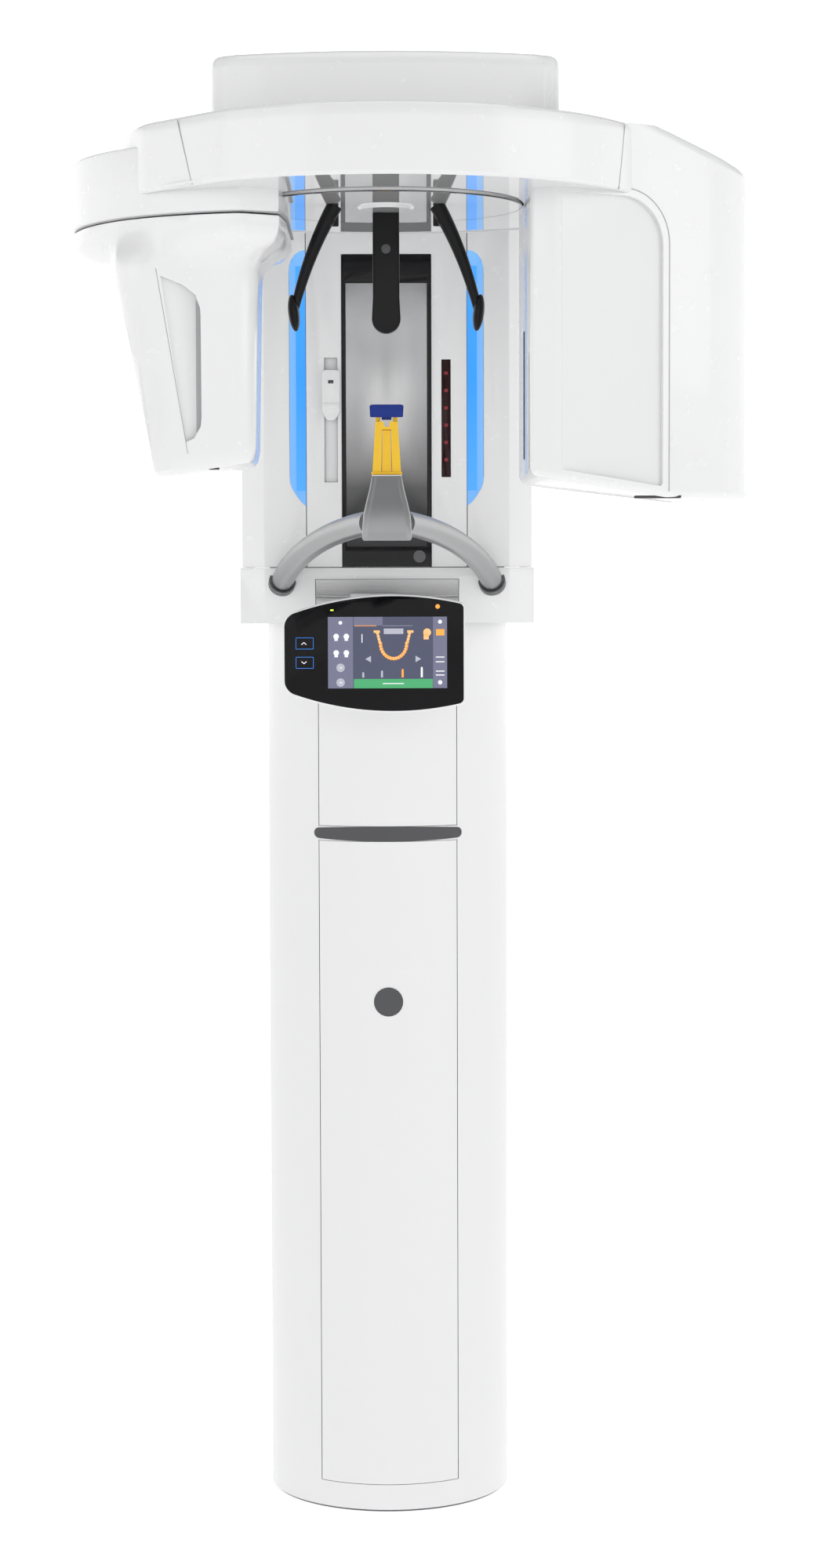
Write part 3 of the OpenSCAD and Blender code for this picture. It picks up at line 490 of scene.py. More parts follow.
    def plate(
        self, span_x: Point2, span_z: Point2, windows: Sequence[tuple[Point2, Point2]], front: float, back: float,
    ) -> None:
        """Adds an upright plate with rectangular windows in it.

        Args:
            span_x: its left and right edges.
            span_z: its lower and upper edges.
            windows: the left and right, and the lower and upper edges of each opening.
            front: its front face's place.
            back: its back face's place.
        """
        (left, right), (low, high) = span_x, span_z
        self.face([(left, front, low), (right, front, low), (right, front, high), (left, front, high)])
        self.slice_across(x for window in windows for x in window[0])
        for z in (z for window in windows for z in window[1]):
            bmesh.ops.bisect_plane(self.bm, geom=self.everything, plane_co=(0, 0, z), plane_no=(0, 0, 1))
        gone = []
        for one in self.bm.faces:
            middle = one.calc_center_median()
            if any(x0 < middle.x < x1 and z0 < middle.z < z1 for (x0, x1), (z0, z1) in windows):
                gone.append(one)
        bmesh.ops.delete(self.bm, geom=gone, context="FACES")
        bmesh.ops.dissolve_limit(
            self.bm, angle_limit=0.01, verts=list(self.bm.verts), edges=list(self.bm.edges),
            use_dissolve_boundaries=False,
        )
        made = bmesh.ops.extrude_face_region(self.bm, geom=list(self.bm.faces), use_keep_orig=True)
        far = [g for g in made["geom"] if isinstance(g, bmesh.types.BMVert)]
        bmesh.ops.translate(self.bm, verts=far, vec=(0, back - front, 0))
        self.soften(self.creases(60.0), 0.0006, 2)

    def bend_round(self, radius: float) -> None:
        """Wraps a flat sheet that lies at y 0 round the front of the column."""
        for vert in self.bm.verts:
            angle, out = vert.co.x / radius, radius - vert.co.y
            vert.co = (out * math.sin(angle), -out * math.cos(angle), vert.co.z)

    def slice_across(self, places: Iterable[float]) -> None:
        """Cuts the mesh across x at some places."""
        for x in places:
            bmesh.ops.bisect_plane(self.bm, geom=self.everything, plane_co=(x, 0, 0), plane_no=(1, 0, 0))

    def trim(self, place: Point3, normal: Point3) -> None:
        """Cuts off what lies beyond a plane and closes the cut."""
        cut = bmesh.ops.bisect_plane(
            self.bm, geom=self.everything, plane_co=place, plane_no=normal, clear_outer=True)
        edges = [g for g in cut["geom_cut"] if isinstance(g, bmesh.types.BMEdge)]
        bmesh.ops.edgeloop_fill(self.bm, edges=edges)

    def flip_x(self) -> None:
        """Mirrors the whole mesh to the other side."""
        bmesh.ops.scale(self.bm, vec=(-1, 1, 1), verts=list(self.bm.verts))
        bmesh.ops.reverse_faces(self.bm, faces=list(self.bm.faces))

    def loose(self, name: str) -> bpy.types.Object:
        """Returns the mesh as an object that rides on nothing yet."""
        mesh = bpy.data.meshes.new(name)
        self.bm.to_mesh(mesh)
        self.bm.free()
        made = bpy.data.objects.new(name, mesh)
        bpy.context.scene.collection.objects.link(made)
        return made

    def piece(
        self, name: str, finish: Finish, body: str, slot: str, stands_for: Sequence[str] = (), sharp: float = SHARP,
    ) -> bpy.types.Object:
        """Makes the finished object and hangs it on its body.

        Args:
            name: the object's name.
            finish: its surface.
            body: the moving body that it rides on.
            slot: not used.
            stands_for: the CAD nodes that it replaces.
            sharp: the angle in degrees above which an edge looks sharp.

        Returns:
            The new object.
        """
        bmesh.ops.remove_doubles(self.bm, verts=list(self.bm.verts), dist=1e-6)
        self.outward()
        for one in self.bm.faces:
            one.smooth = True
        made = self.loose(name)
        made.data.set_sharp_from_angle(angle=math.radians(sharp))
        made.data.materials.append(finish.material())
        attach(made, body)
        if stands_for:
            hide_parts(*stands_for)
        log.info("%s: %d faces on %s", name, len(made.data.polygons), body)
        return made


def carve(target: bpy.types.Object, cutter: bpy.types.Object) -> None:
    """Cuts one object's shape out of another and removes the cutter.

    Args:
        target: the object that is cut.
        cutter: a closed object, which is deleted.
    """
    cut = target.modifiers.new("cut", "BOOLEAN")
    cut.operation, cut.solver, cut.object = "DIFFERENCE", "EXACT", cutter
    bpy.context.view_layer.update()
    shaped = bpy.data.meshes.new_from_object(target.evaluated_get(bpy.context.evaluated_depsgraph_get()))
    target.modifiers.remove(cut)
    old, target.data = target.data, shaped
    bpy.data.meshes.remove(old)
    spare = cutter.data
    bpy.data.objects.remove(cutter)
    bpy.data.meshes.remove(spare)
    target.data.set_sharp_from_angle(angle=math.radians(SHARP))


def arc(centre: Point2, radius: float, start: float, end: float, steps: int) -> list[Point2]:
    """Returns points on a circle between two angles, in degrees."""
    turns = [math.radians(start + (end - start) * i / steps) for i in range(steps + 1)]
    return [(centre[0] + radius * math.cos(turn), centre[1] + radius * math.sin(turn)) for turn in turns]


def round_box(low: Point2, high: Point2, radius: float, height: float) -> list[Point3]:
    """Returns a level ring of points round a rectangle with round corners.

    Args:
        low: its near left corner.
        high: its far right corner.
        radius: the corners' radius.
        height: the ring's height.
    """
    x0, y0, x1, y1 = low[0] + radius, low[1] + radius, high[0] - radius, high[1] - radius
    ring: list[Point3] = []
    for k, corner in enumerate(((x1, y1), (x0, y1), (x0, y0), (x1, y0))):
        ring += [(x, y, height) for x, y in arc(corner, radius, 90 * k, 90 * k + 90, 15)]
    return ring


def reach(outline: Sequence[Point2], centre: Point2, angle: float) -> float:
    """Returns how far an outline lies from a point inside it in one direction.

    Args:
        outline: the closed outline.
        centre: the point inside it.
        angle: the direction, in radians.
    """
    way = Vector((math.cos(angle), math.sin(angle)))
    best = 0.0
    for i, corner in enumerate(outline):
        a = Vector(outline[i - 1]) - Vector(centre)
        side = Vector(corner) - Vector(centre) - a
        cross = way.x * side.y - way.y * side.x
        if abs(cross) > 1e-12:
            along = (a.x * side.y - a.y * side.x) / cross
            share = (a.x * way.y - a.y * way.x) / cross
            if along > 0 and -1e-6 <= share <= 1 + 1e-6:
                best = max(best, along)
    return best


def sink(made: bpy.types.Object, top: float, depth: float, drop: Callable[[float], float]) -> None:
    """Slants the lower end of a piece without touching what lies above it.

    Args:
        made: the piece.
        top: the height at which the slant begins.
        depth: the height below that over which it grows to its full size.
        drop: how far the end moves at a place across, in metres.
    """
    for vert in made.data.vertices:
        share = min(max((top - vert.co.z) / depth, 0.0), 1.0)
        vert.co.z += share * drop(vert.co.x)


def dress(nodes: dict[str, bpy.types.Object], finish: Finish, *names: str) -> None:
    """Gives CAD nodes a finish.

    Args:
        nodes: every CAD node's object by name.
        finish: the surface they get.
        names: the nodes that get it.
    """
    for name in names:
        mesh = nodes[name].data
        mesh.materials.clear()
        mesh.materials.append(finish.material())
        log.info("%s: %s", name, finish.name)


@dataclass
class Assembly:
    """What every sub-assembly shares: the CAD nodes it may dress."""

    nodes: dict[str, bpy.types.Object]

    def build(self) -> None:
        """Builds and dresses the sub-assembly."""
        raise NotImplementedError


# ---------------------------------------------------------------- the stand


@dataclass
class Column(Assembly):
    """The fixed column with its panels, dark strip, badge and inner steelwork."""

    radius: float = 0.159
    strip_half: float = 0.0955
    strip_z: Point2 = (0.8803, 0.8995)
    strip_droop: float = 0.003
    badge_z: float = 0.672
    badge_r: float = 0.019

    def build(self) -> None:
        """Dresses the column's nodes and adds the strip and the badge."""
        dress(self.nodes, SHELL_WHITE, "column_shell", "front_panel", "upper_panel")
        dress(self.nodes, FRAME_STEEL, "base_plate", "column_frame", "wall_bracket")
        dress(self.nodes, GROUND_STEEL, "guide_rails", "lead_screw", "frame_bolts")
        dress(self.nodes, GUIDE_PLASTIC, "top_guides", "guide_shoes")
        dress(self.nodes, MOTOR_BLACK, "lift_motor")
        dress(self.nodes, RAW_ALUMINIUM, "power_supply", "mast")
        dress(self.nodes, CAST_BALLAST, "ballast_block")
        dress(self.nodes, BRONZE, "screw_nut")
        self.strip()
        self.badge()

    def strip(self) -> None:
        """Builds the dark strip: round ends, a level top and a bowed lower edge."""
        shape = Shaper()
        low, high = self.strip_z
        end_r = (high - low) / 2 - self.strip_droop
        reach = self.radius * math.asin(self.strip_half / self.radius) - end_r
        mid = (low + high) / 2 + 0.0003
        steps = [i / 24 for i in range(25)]
        cuts = [-reach + 2 * reach * t for t in steps]
        top = [(reach - 2 * reach * t, high - self.strip_droop * 0.9 * (1 - 2 * t) ** 2) for t in steps]
        bottom = [(x, low + self.strip_droop * (1 - 2 * t) ** 2) for x, t in zip(cuts, steps)]
        bow = [(reach + end_r * math.sin(math.pi * i / 8), end_r * math.cos(math.pi * i / 8)) for i in range(1, 8)]
        left, right = [(-x, mid + z) for x, z in bow], [(x, mid - z) for x, z in bow]
        shape.prism([*top, *left, *bottom, *right], -0.0007, 0.0008, axis=Axis.Y)
        shape.slice_across(cuts)
        shape.bend_round(self.radius)
        shape.piece("slot_strip", STRIP_GREY, "stand", "strip_grey", ["slot_trim"])
        seat = Shaper()
        seat.block((-reach - 0.002, 0.0004, low + 0.0002), (reach + 0.002, 0.004, high - 0.0002), 0.0)
        seat.slice_across(cuts)
        seat.bend_round(self.radius)
        seat.piece("strip_seat", SHELL_WHITE, "stand", "shell_white")

    def badge(self) -> None:
        """Builds the plain round badge on the front panel."""
        shape = Shaper()
        shape.prism(arc((0.0, self.badge_z), self.badge_r, 0, 345, 23), -0.0004, 0.002, axis=Axis.Y)
        shape.slice_across(self.badge_r * (i / 5 - 1) for i in range(1, 10))
        shape.bend_round(self.radius)
        shape.piece("round_badge", STRIP_GREY, "stand", "strip_grey")


# ---------------------------------------------------------------- the sliding housing


@dataclass
class Housing(Assembly):
    """The covers, lights and mirror behind the patient's place."""

    front: float = -0.222
    crease_x: float = 0.155
    side_x: float = 0.184
    side_y: float = -0.195
    back_y: float = 0.110
    low: float = 1.2338
    high: float = 1.702
    light_x: Point2 = (0.1018, 0.1222)
    light_z: Point2 = (1.312, 1.630)
    wall: float = 0.003
    segments: int = 6

    def build(self) -> None:
        """Builds both side shells, the centre panel and everything set into it."""
        for side in Side:
            self.side_shell(side)
            self.light(side)
        self.centre_panel()
        self.mirror()
        self.height_window()
        self.localiser()

    def side_shell(self, side: Side) -> None:
        """Builds one folded side cover with the opening for its light."""
        shape = Shaper()
        x0, x1 = self.light_x
        z0, z1 = self.light_z
        outline = [
            (x0, self.low), (self.crease_x, self.low), (self.crease_x, self.high), (x0, self.high),
            (x0, z1 + 0.001), (x0 + 0.007, z1 - 0.0005), (x0 + 0.013, z1 - 0.0045), (x1 - 0.003, z1 - 0.011),
            (x1 - 0.0005, z1 - 0.019), (x1, z1 - 0.027), (x1, z0 + 0.036), (x1 - 0.0006, z0 + 0.028),
            (x1 - 0.003, z0 + 0.021), (x0 + 0.012, z0 + 0.012), (x0 + 0.006, z0 + 0.004), (x0, z0 - 0.001),
        ]
        front = shape.face([(x, self.front, z) for x, z in outline])
        fold = [e for e in front.edges if all(abs(v.co.x - self.crease_x) < 1e-6 for v in e.verts)]
        for target in ((self.side_x, self.side_y), (self.side_x, self.back_y)):
            made = bmesh.ops.extrude_edge_only(shape.bm, edges=fold)
            ends = [g for g in made["geom"] if isinstance(g, bmesh.types.BMVert)]
            edges = [g for g in made["geom"] if isinstance(g, bmesh.types.BMEdge)]
            fold = [e for e in edges if all(v in ends for v in e.verts)]
            for vert in ends:
                vert.co.x, vert.co.y = target
        shape.outward()
        if front.normal.y > 0:
            bmesh.ops.reverse_faces(shape.bm, faces=list(shape.bm.faces))
        bmesh.ops.solidify(shape.bm, geom=list(shape.bm.faces), thickness=self.wall)
        shape.soften(shape.creases(35.0), 0.0011, 3)
        if side is Side.LEFT:
            shape.flip_x()
        shape.piece(f"side_cover_{side.label}", COVER_WHITE, "carriage", "cover_white", [f"side_shell_{side.label}"])

    def light(self, side: Side) -> None:
        """Builds one light: the sloping well, which glows pale blue with painted light from the bar, and the glowing
        bar in it.
        """
        x0, x1 = self.light_x
        z0, z1 = self.light_z
        near, deep, back = self.front + 0.0008, self.front + 0.011, self.front + 0.013
        well = Shaper()
        well.prism(
            [(x1 - 0.0004, near), (x1 - 0.0085, deep), (x1 - 0.0085, back), (x1 - 0.0004, back)],
            z0 + 0.014, z1 - 0.014)
        for slope in (
            [(near, z0 - 0.001), (deep, z0 + 0.019), (back, z0 + 0.019), (back, z0 - 0.001)],
            [(near, z1 + 0.001), (back, z1 + 0.001), (back, z1 - 0.019), (deep, z1 - 0.019)],
        ):
            well.prism(slope, x0 + 0.0004, x1 - 0.003, axis=Axis.X)
        bar = Shaper()
        bar.block((x0 + 0.0002, self.front + 0.0105, z0 + 0.0005), (x1 - 0.001, self.front + 0.016, z1 - 0.0005), 0.0)
        case = Shaper()
        case.block(
            (x0 - 0.0006, self.front + 0.0163, z0 - 0.001), (x1 + 0.003, self.front + 0.0300, z1 + 0.001), 0.001)
        if side is Side.LEFT:
            for shape in (well, bar, case):
                shape.flip_x()
        case.piece(f"light_case_{side.label}", COVER_GREY, "carriage", "cover_grey")
        # The well is no lamp: its glow is painted light from the bar.
        well.piece(f"light_well_{side.label}", LIGHT_SPILL_PAINTED, "carriage", "light_blue")
        stands_for = ["light_bars"] if side is Side.RIGHT else []
        bar.piece(f"light_bar_{side.label}", LIGHT_BLUE, "carriage", "light_blue", stands_for)

    def centre_panel(self) -> None:
        """Builds the middle cover with its openings."""
        shape = Shaper()
        half = 0.101
        mirror_hole = ((-0.0565, 0.0565), (self.low - 0.001, 1.6257))
        height_hole = ((0.0692, 0.0808), (1.3468, 1.4942))
        track_hole = ((-0.0782, -0.0618), (1.3405, 1.4965))
        windows = [mirror_hole, height_hole, track_hole]
        shape.plate((-half, half), (self.low, self.high), windows, self.front, self.front + self.wall)
        shape.pair((half - self.wall, self.front + 0.0005, self.low), (half, -0.173, self.high), 0.0004)
        shape.piece("middle_cover", COVER_WHITE, "carriage", "cover_white", ["centre_panel"])
        edge = Shaper()
        edge.pair((0.1011, self.front + 0.0025, self.low), (0.1017, self.front + 0.006, self.high), 0.0)
        edge.piece("centre_panel_joint", DEEP_SHADE, "carriage", "strip_grey")

    def mirror(self) -> None:
        """Builds the black mirror frame, the mirror with its painted reflection and the distance sensor."""
        low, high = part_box("mirror_frame")
        glass_low, glass_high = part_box("mirror_glass")
        gap = 0.0003
        hole = ((glass_low.x - gap, glass_high.x + gap), (glass_low.z - gap, glass_high.z + gap))
        frame = Shaper()
        frame.plate((low.x, high.x), (low.z, high.z), [hole], low.y, low.y + 0.006)
        frame.block(
            (low.x + 0.002, low.y + 0.0045, low.z + 0.002), (high.x - 0.002, low.y + 0.012, high.z - 0.002), 0.0)
        frame.piece("mirror_surround", FRAME_BLACK, "carriage", "frame_black", ["mirror_frame"])
        glass = Shaper()
        glass.block((glass_low.x, low.y + 0.0012, glass_low.z), (glass_high.x, low.y + 0.0042, glass_high.z), 0.0004)
        # The mirror's colour ramp by height is a painted reflection.
        glass.piece("mirror", MIRROR_PAINTED_REFLECTION, "carriage", "mirror_silver", ["mirror_glass"])
        dress(self.nodes, SENSOR_GLASS, "distance_sensor")

    def height_window(self) -> None:
        """Builds the dark red display beside the mirror with its six dim marks."""
        window = Shaper()
        window.block((0.0697, self.front + 0.0005, 1.3472), (0.0803, self.front + 0.004, 1.4938), 0.0006)
        window.piece("height_window", DISPLAY_RED, "carriage", "display_red", ["height_display"])
        marks = Shaper()
        for k in range(self.segments):
            z = 1.3665 + 0.0217 * k
            marks.block((0.0727, self.front + 0.0002, z), (0.0773, self.front + 0.0009, z + 0.004), 0.0)
        marks.piece("height_marks", SEGMENT_RED, "carriage", "display_red")

    def localiser(self) -> None:
        """Builds the light localiser's track and its slider."""
        low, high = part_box("slider_track")
        x = (low.x + high.x) / 2
        track = Shaper()
        track.block((x - 0.0081, self.front + 0.004, 1.3405), (x + 0.0081, self.front + 0.007, 1.4965), 0.0004)
        track.piece("localiser_track", TRACK_WHITE, "carriage", "cover_grey", ["slider_track"])
        low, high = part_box("localiser_slider")
        slider = Shaper()
        outline = [
            (low.x, low.z + 0.011), (low.x + 0.004, low.z + 0.003), (low.x + 0.007, low.z), (high.x - 0.007, low.z),
            (high.x - 0.004, low.z + 0.003), (high.x, low.z + 0.011), (high.x, high.z - 0.003),
            (high.x - 0.003, high.z), (low.x + 0.003, high.z), (low.x, high.z - 0.003),
        ]
        slider.prism(outline, low.y + 0.001, self.front - 0.0004, 0.001, 0.0008, Axis.Y, 2)
        slider.block(
            (x - 0.0066, self.front - 0.001, low.z + 0.006), (x + 0.0066, self.front + 0.0035, high.z - 0.006), 0.0004)
        slider.block((low.x + 0.0005, low.y, low.z + 0.0145), (high.x - 0.0005, low.y + 0.004, low.z + 0.0215), 0.0009)
        slider.piece("slider_body", COVER_WHITE, "localiser", "cover_white", ["localiser_slider"])
        eye = Shaper()
        eye.block((x - 0.0034, low.y + 0.0006, high.z - 0.0170), (x + 0.0034, low.y + 0.002, high.z - 0.0128), 0.0003)
        eye.piece("localiser_window", SENSOR_GLASS, "localiser", "sensor_glass")


@dataclass
class HandleBlock(Assembly):
    """The sleeve under the housing that carries the handles and the control panel."""

    slope: float = 0.032
    lip: float = 0.011
    wall: float = 0.004

    def build(self) -> None:
        """Builds the sleeve and dresses what is fixed to it."""
        low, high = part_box("lower_block")
        front, side = low.y, high.x
        shape = Shaper()
        fold, back_of_fold = 0.155, front + 0.029
        plan = [
            (-side, high.y), (-side, back_of_fold), (-fold, front), (fold, front), (side, back_of_fold), (side, high.y),
        ]
        rings = []
        for z, back in ((high.z, 0.0), (high.z - self.lip, 0.0), (low.z, self.slope)):
            rings.append([(x, max(y, front + back) if y < 0 else y, z) for x, y in plan])
        verts = [[shape.dot_at(c) for c in ring] for ring in rings]
        for upper, lower in zip(verts, verts[1:]):
            for i in range(len(plan) - 1):
                shape.bm.faces.new([upper[i], upper[i + 1], lower[i + 1], lower[i]])
        shape.outward()
        if sum(f.normal.y * f.calc_area() for f in shape.bm.faces) > 0:
            bmesh.ops.reverse_faces(shape.bm, faces=list(shape.bm.faces))
        bmesh.ops.solidify(shape.bm, geom=list(shape.bm.faces), thickness=self.wall)
        shape.soften(shape.creases(14.0), 0.0016, 3)
        shape.piece("handle_block", COVER_WHITE, "carriage", "cover_white", ["lower_block"])
        floor = Shaper()
        clear = 0.1615
        seat = low.z + 0.0006
        edge_x, edge_y = side - 0.003, front + self.slope + 0.004
        outer = [(-edge_x, high.y), (-edge_x, edge_y), (edge_x, edge_y), (edge_x, high.y)]
        inner = [(clear, high.y), *arc((0.0, 0.0), clear, 0, -180, 24), (-clear, high.y)]
        floor.prism([*outer, *inner], seat, seat + 0.003)
        floor.piece("handle_block_floor", COVER_WHITE, "carriage", "cover_white")
        self.joint_line()
        dress(self.nodes, COVER_WHITE, "block_cover")
        dress(self.nodes, TRACK_WHITE, "panel_bracket")
        dress(self.nodes, SOCKET_SILVER, "handle_sockets")

    def joint_line(self) -> None:
        """Adds the dark joint round the cover plate."""
        low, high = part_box("block_cover")
        shape = Shaper()
        gap = 0.0004
        left, right, top = low.x - gap, high.x + gap, high.z + gap
        path = [(left, low.z), (left, top), (right, top), (right, low.z)]
        rise = (high.y - low.y - 0.005) / (high.z - low.z)
        for (xa, za), (xb, zb) in zip(path, path[1:]):
            ya, yb = (low.y + rise * (high.z - z) + 0.0006 for z in (za, zb))
            shape.rod((xa, ya, za), (xb, yb, zb), 0.0007, sides=8)
        shape.piece("cover_joint", DEEP_SHADE, "carriage", "strip_grey")


@dataclass
class Handles(Assembly):
    """The two handle tubes, the tower between them and the bite rest."""

    tube_r: float = 0.014
    bite_y: float = -0.650
    bend: tuple[Point3, ...] = (
        (0.134, -0.214, 1.2115), (0.122, -0.280, 1.246), (0.074, -0.430, 1.277), (0.018, -0.644, 1.282),
    )
    tower_rows: tuple[tuple[float, float, float, float], ...] = (
        (1.262, 0.0262, 0.0255, 0.006), (1.264, 0.0278, 0.0268, 0.007),
        (1.272, 0.0280, 0.0270, 0.008), (1.290, 0.0266, 0.0255, 0.009),
        (1.305, 0.0232, 0.0222, 0.009), (1.320, 0.0195, 0.0180, 0.008),
        (1.333, 0.0170, 0.0155, 0.007), (1.335, 0.0160, 0.0145, 0.006),
    )

    def curve(self, s: float, t: float) -> Vector:
        """Returns a point of a handle's centre line.

        Args:
            s: the side, -1 or 1.
            t: the place along it, from 0 at the block to 1 at the tower.
        """
        a, b, c, d = (Vector((s * x, y, z)) for x, y, z in self.bend)
        return a * (1 - t) ** 3 + b * 3 * t * (1 - t) ** 2 + c * 3 * t * t * (1 - t) + d * t ** 3

    def build(self) -> None:
        """Builds the tubes, the tower, the stem and the bite block."""
        tubes = Shaper()
        for s in (-1, 1):
            path = [tuple(self.curve(s, i / 40)) for i in range(41)]
            tubes.sweep(path, self.tube_r, side_on=Vector((0, 0, 1)), sides=40)
        tubes.piece("handles", HANDLE_SILVER, "carriage", "handle_silver", ["handle_tubes"])
        tower = Shaper()
        tower.loft([round_box((-w, self.bite_y - d), (w, self.bite_y + d), r, z) for z, w, d, r in self.tower_rows])
        tower.piece("tower", HANDLE_SILVER, "carriage", "handle_silver", ["bite_tower"])
        socket = Shaper()
        socket.block((-0.0168, self.bite_y - 0.0150, 1.3342), (0.0168, self.bite_y + 0.0150, 1.3353), 0.0004)
        socket.piece("tower_lip", TRACK_WHITE, "carriage", "cover_grey")
        self.stem()
        self.bite()

    def stem(self) -> None:
        """Builds the yellow stem with its tongue and two slots."""
        y0, y1 = self.bite_y - 0.009, self.bite_y + 0.009
        shape = Shaper()
        shape.block((-0.0172, y0 - 0.001, 1.3356), (0.0172, y1 + 0.001, 1.3392), 0.0006)
        legs = [
            (-0.0160, 1.3388), (-0.0062, 1.3388), (-0.0050, 1.3860), (0.0050, 1.3860), (0.0062, 1.3388),
            (0.0160, 1.3388), (0.0125, 1.3952), (0.0035, 1.3952), (0.0030, 1.3895), (-0.0030, 1.3895),
            (-0.0035, 1.3952), (-0.0125, 1.3952),
        ]
        tongue = [(-0.0054, 1.3388), (0.0054, 1.3388), (0.0043, 1.3854), (-0.0043, 1.3854)]
        shape.prism(legs, y0, y1, axis=Axis.Y)
        shape.prism(tongue, y0 + 0.0012, y1 - 0.0015, axis=Axis.Y)
        shape.pair((0.0072, y0 + 0.0042, 1.3955), (0.0124, y1 - 0.0042, 1.4035), 0.0006)
        shape.piece("yellow_stem", STEM_YELLOW, "stem", "stem_yellow", ["bite_stem"])

    def bite(self) -> None:
        """Builds the blue bite block with its groove."""
        shape = Shaper()
        y = self.bite_y
        lip = [
            (-0.0185, 1.4000), (0.0185, 1.4000), (0.0192, 1.4130), (0.0165, 1.4142), (-0.0165, 1.4142),
            (-0.0192, 1.4130),
        ]
        shape.prism(lip, y - 0.0092, y - 0.0062, 0.001, 0.0006, Axis.Y, 2)
        shape.block((-0.0185, y - 0.0065, 1.4055), (0.0185, y + 0.009, 1.4090), 0.0008)
        shape.block((-0.0125, y - 0.003, 1.4085), (0.0125, y + 0.003, 1.4138), 0.0012)
        shape.block((-0.0055, y - 0.004, 1.3975), (0.0055, y + 0.004, 1.4060), 0.0006)
        shape.piece("blue_bite", BITE_BLUE, "bite", "bite_blue", ["bite_block"])


# ---------------------------------------------------------------- the arm and head supports


@dataclass
class Arm(Assembly):
    """The overhead arm's cover and what is inside it."""

    nose_r: float = 0.517
    corner_r: float = 0.022

    def build(self) -> None:
        """Builds the cover and dresses the arm's inner parts."""
        low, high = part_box("arm_cover")
        half, front, back = high.x * 1.03, low.y, high.y
        centre = front + self.nose_r
        spread = math.degrees(math.asin((half - self.corner_r * 0.35) / self.nose_r))
        nose = arc((0.0, centre), self.nose_r, -90 - spread, -90 + spread, 32)
        turn = self.corner_r
        right = arc((half - turn, nose[-1][1] + 0.0045 + turn), turn, -60, 0, 6)
        right += [(half, y) for y in (-0.60, -0.40, -0.25, -0.10, back - 0.02)] + [(half - 0.006, back)]
        left = [(-x, y) for x, y in reversed(right)]
        plan = [*nose[1:-1], *right, *left]
        shape = Shaper()
        levels = (
            (0.0, None), (0.0, 0.013), (0.0005, 0.009), (0.0018, 0.0055), (0.004, 0.0026), (0.0075, 0.0008),
            (0.012, 0.0),
        )
        rings = [self.ring(plan, inset, low.z, drop, front, high.z) for inset, drop in levels]
        shape.loft(rings, capped=False)
        upper = [shape.dot_at(c) for c in rings[-1]]
        middle = len(nose[1:-1]) // 2
        for k in range((len(plan) - 1) // 2):
            places = ((middle + k + 1) % len(plan), (middle + k) % len(plan), middle - k, middle - k - 1)
            corners = [upper[place] for place in places]
            shape.bm.faces.new(list(dict.fromkeys(corners)))
        bmesh.ops.remove_doubles(shape.bm, verts=list(shape.bm.verts), dist=1e-5)
        rear = [
            f for f in shape.bm.faces
            if abs(f.calc_center_median().x) < half - 0.01 and min(v.co.y for v in f.verts) > back - 0.003
            and f.calc_area() > 0.01
        ]
        bmesh.ops.delete(shape.bm, geom=rear, context="FACES")
        shape.outward()
        if sum(f.normal.z * f.calc_area() for f in shape.bm.faces) < 0:
            bmesh.ops.reverse_faces(shape.bm, faces=list(shape.bm.faces))
        bmesh.ops.solidify(shape.bm, geom=list(shape.bm.faces), thickness=0.003)
        shape.piece("arm_hood", COVER_WHITE, "carriage", "cover_white", ["arm_cover"])
        dress(self.nodes, RAW_ALUMINIUM, "arm_beam")
        dress(self.nodes, MOTOR_BLACK, "rotor_motor")
        dress(self.nodes, GROUND_STEEL, "slewing_bearing", "head_post")
        dress(self.nodes, BRONZE, "motor_pinion")

    def ring(
        self, plan: Sequence[Point2], inset: float, low: float, drop: float | None, front: float, high: float,
    ) -> list[Point3]:
        """Returns the cover's outline at one level.

        Args:
            plan: the outline seen from above.
            inset: how far inside the outline it runs.
            low: the cover's lower edge.
            drop: how far below the sloping top it lies, or None for the lower edge.
            front: the place of the cover's nose.
            high: the top's height at the back.
        """
        ring: list[Point3] = []
        for i, (x, y) in enumerate(plan):
            before, after = Vector(plan[i - 1]), Vector(plan[(i + 1) % len(plan)])
            out = (after - before).normalized()
            px, py = x - out.y * inset, y + out.x * inset
            top = min(1.772 + 0.1177 * (py - front), high) - 0.004 * (px / 0.18) ** 2
            ring.append((px, py, low if drop is None else top - drop))
        return ring


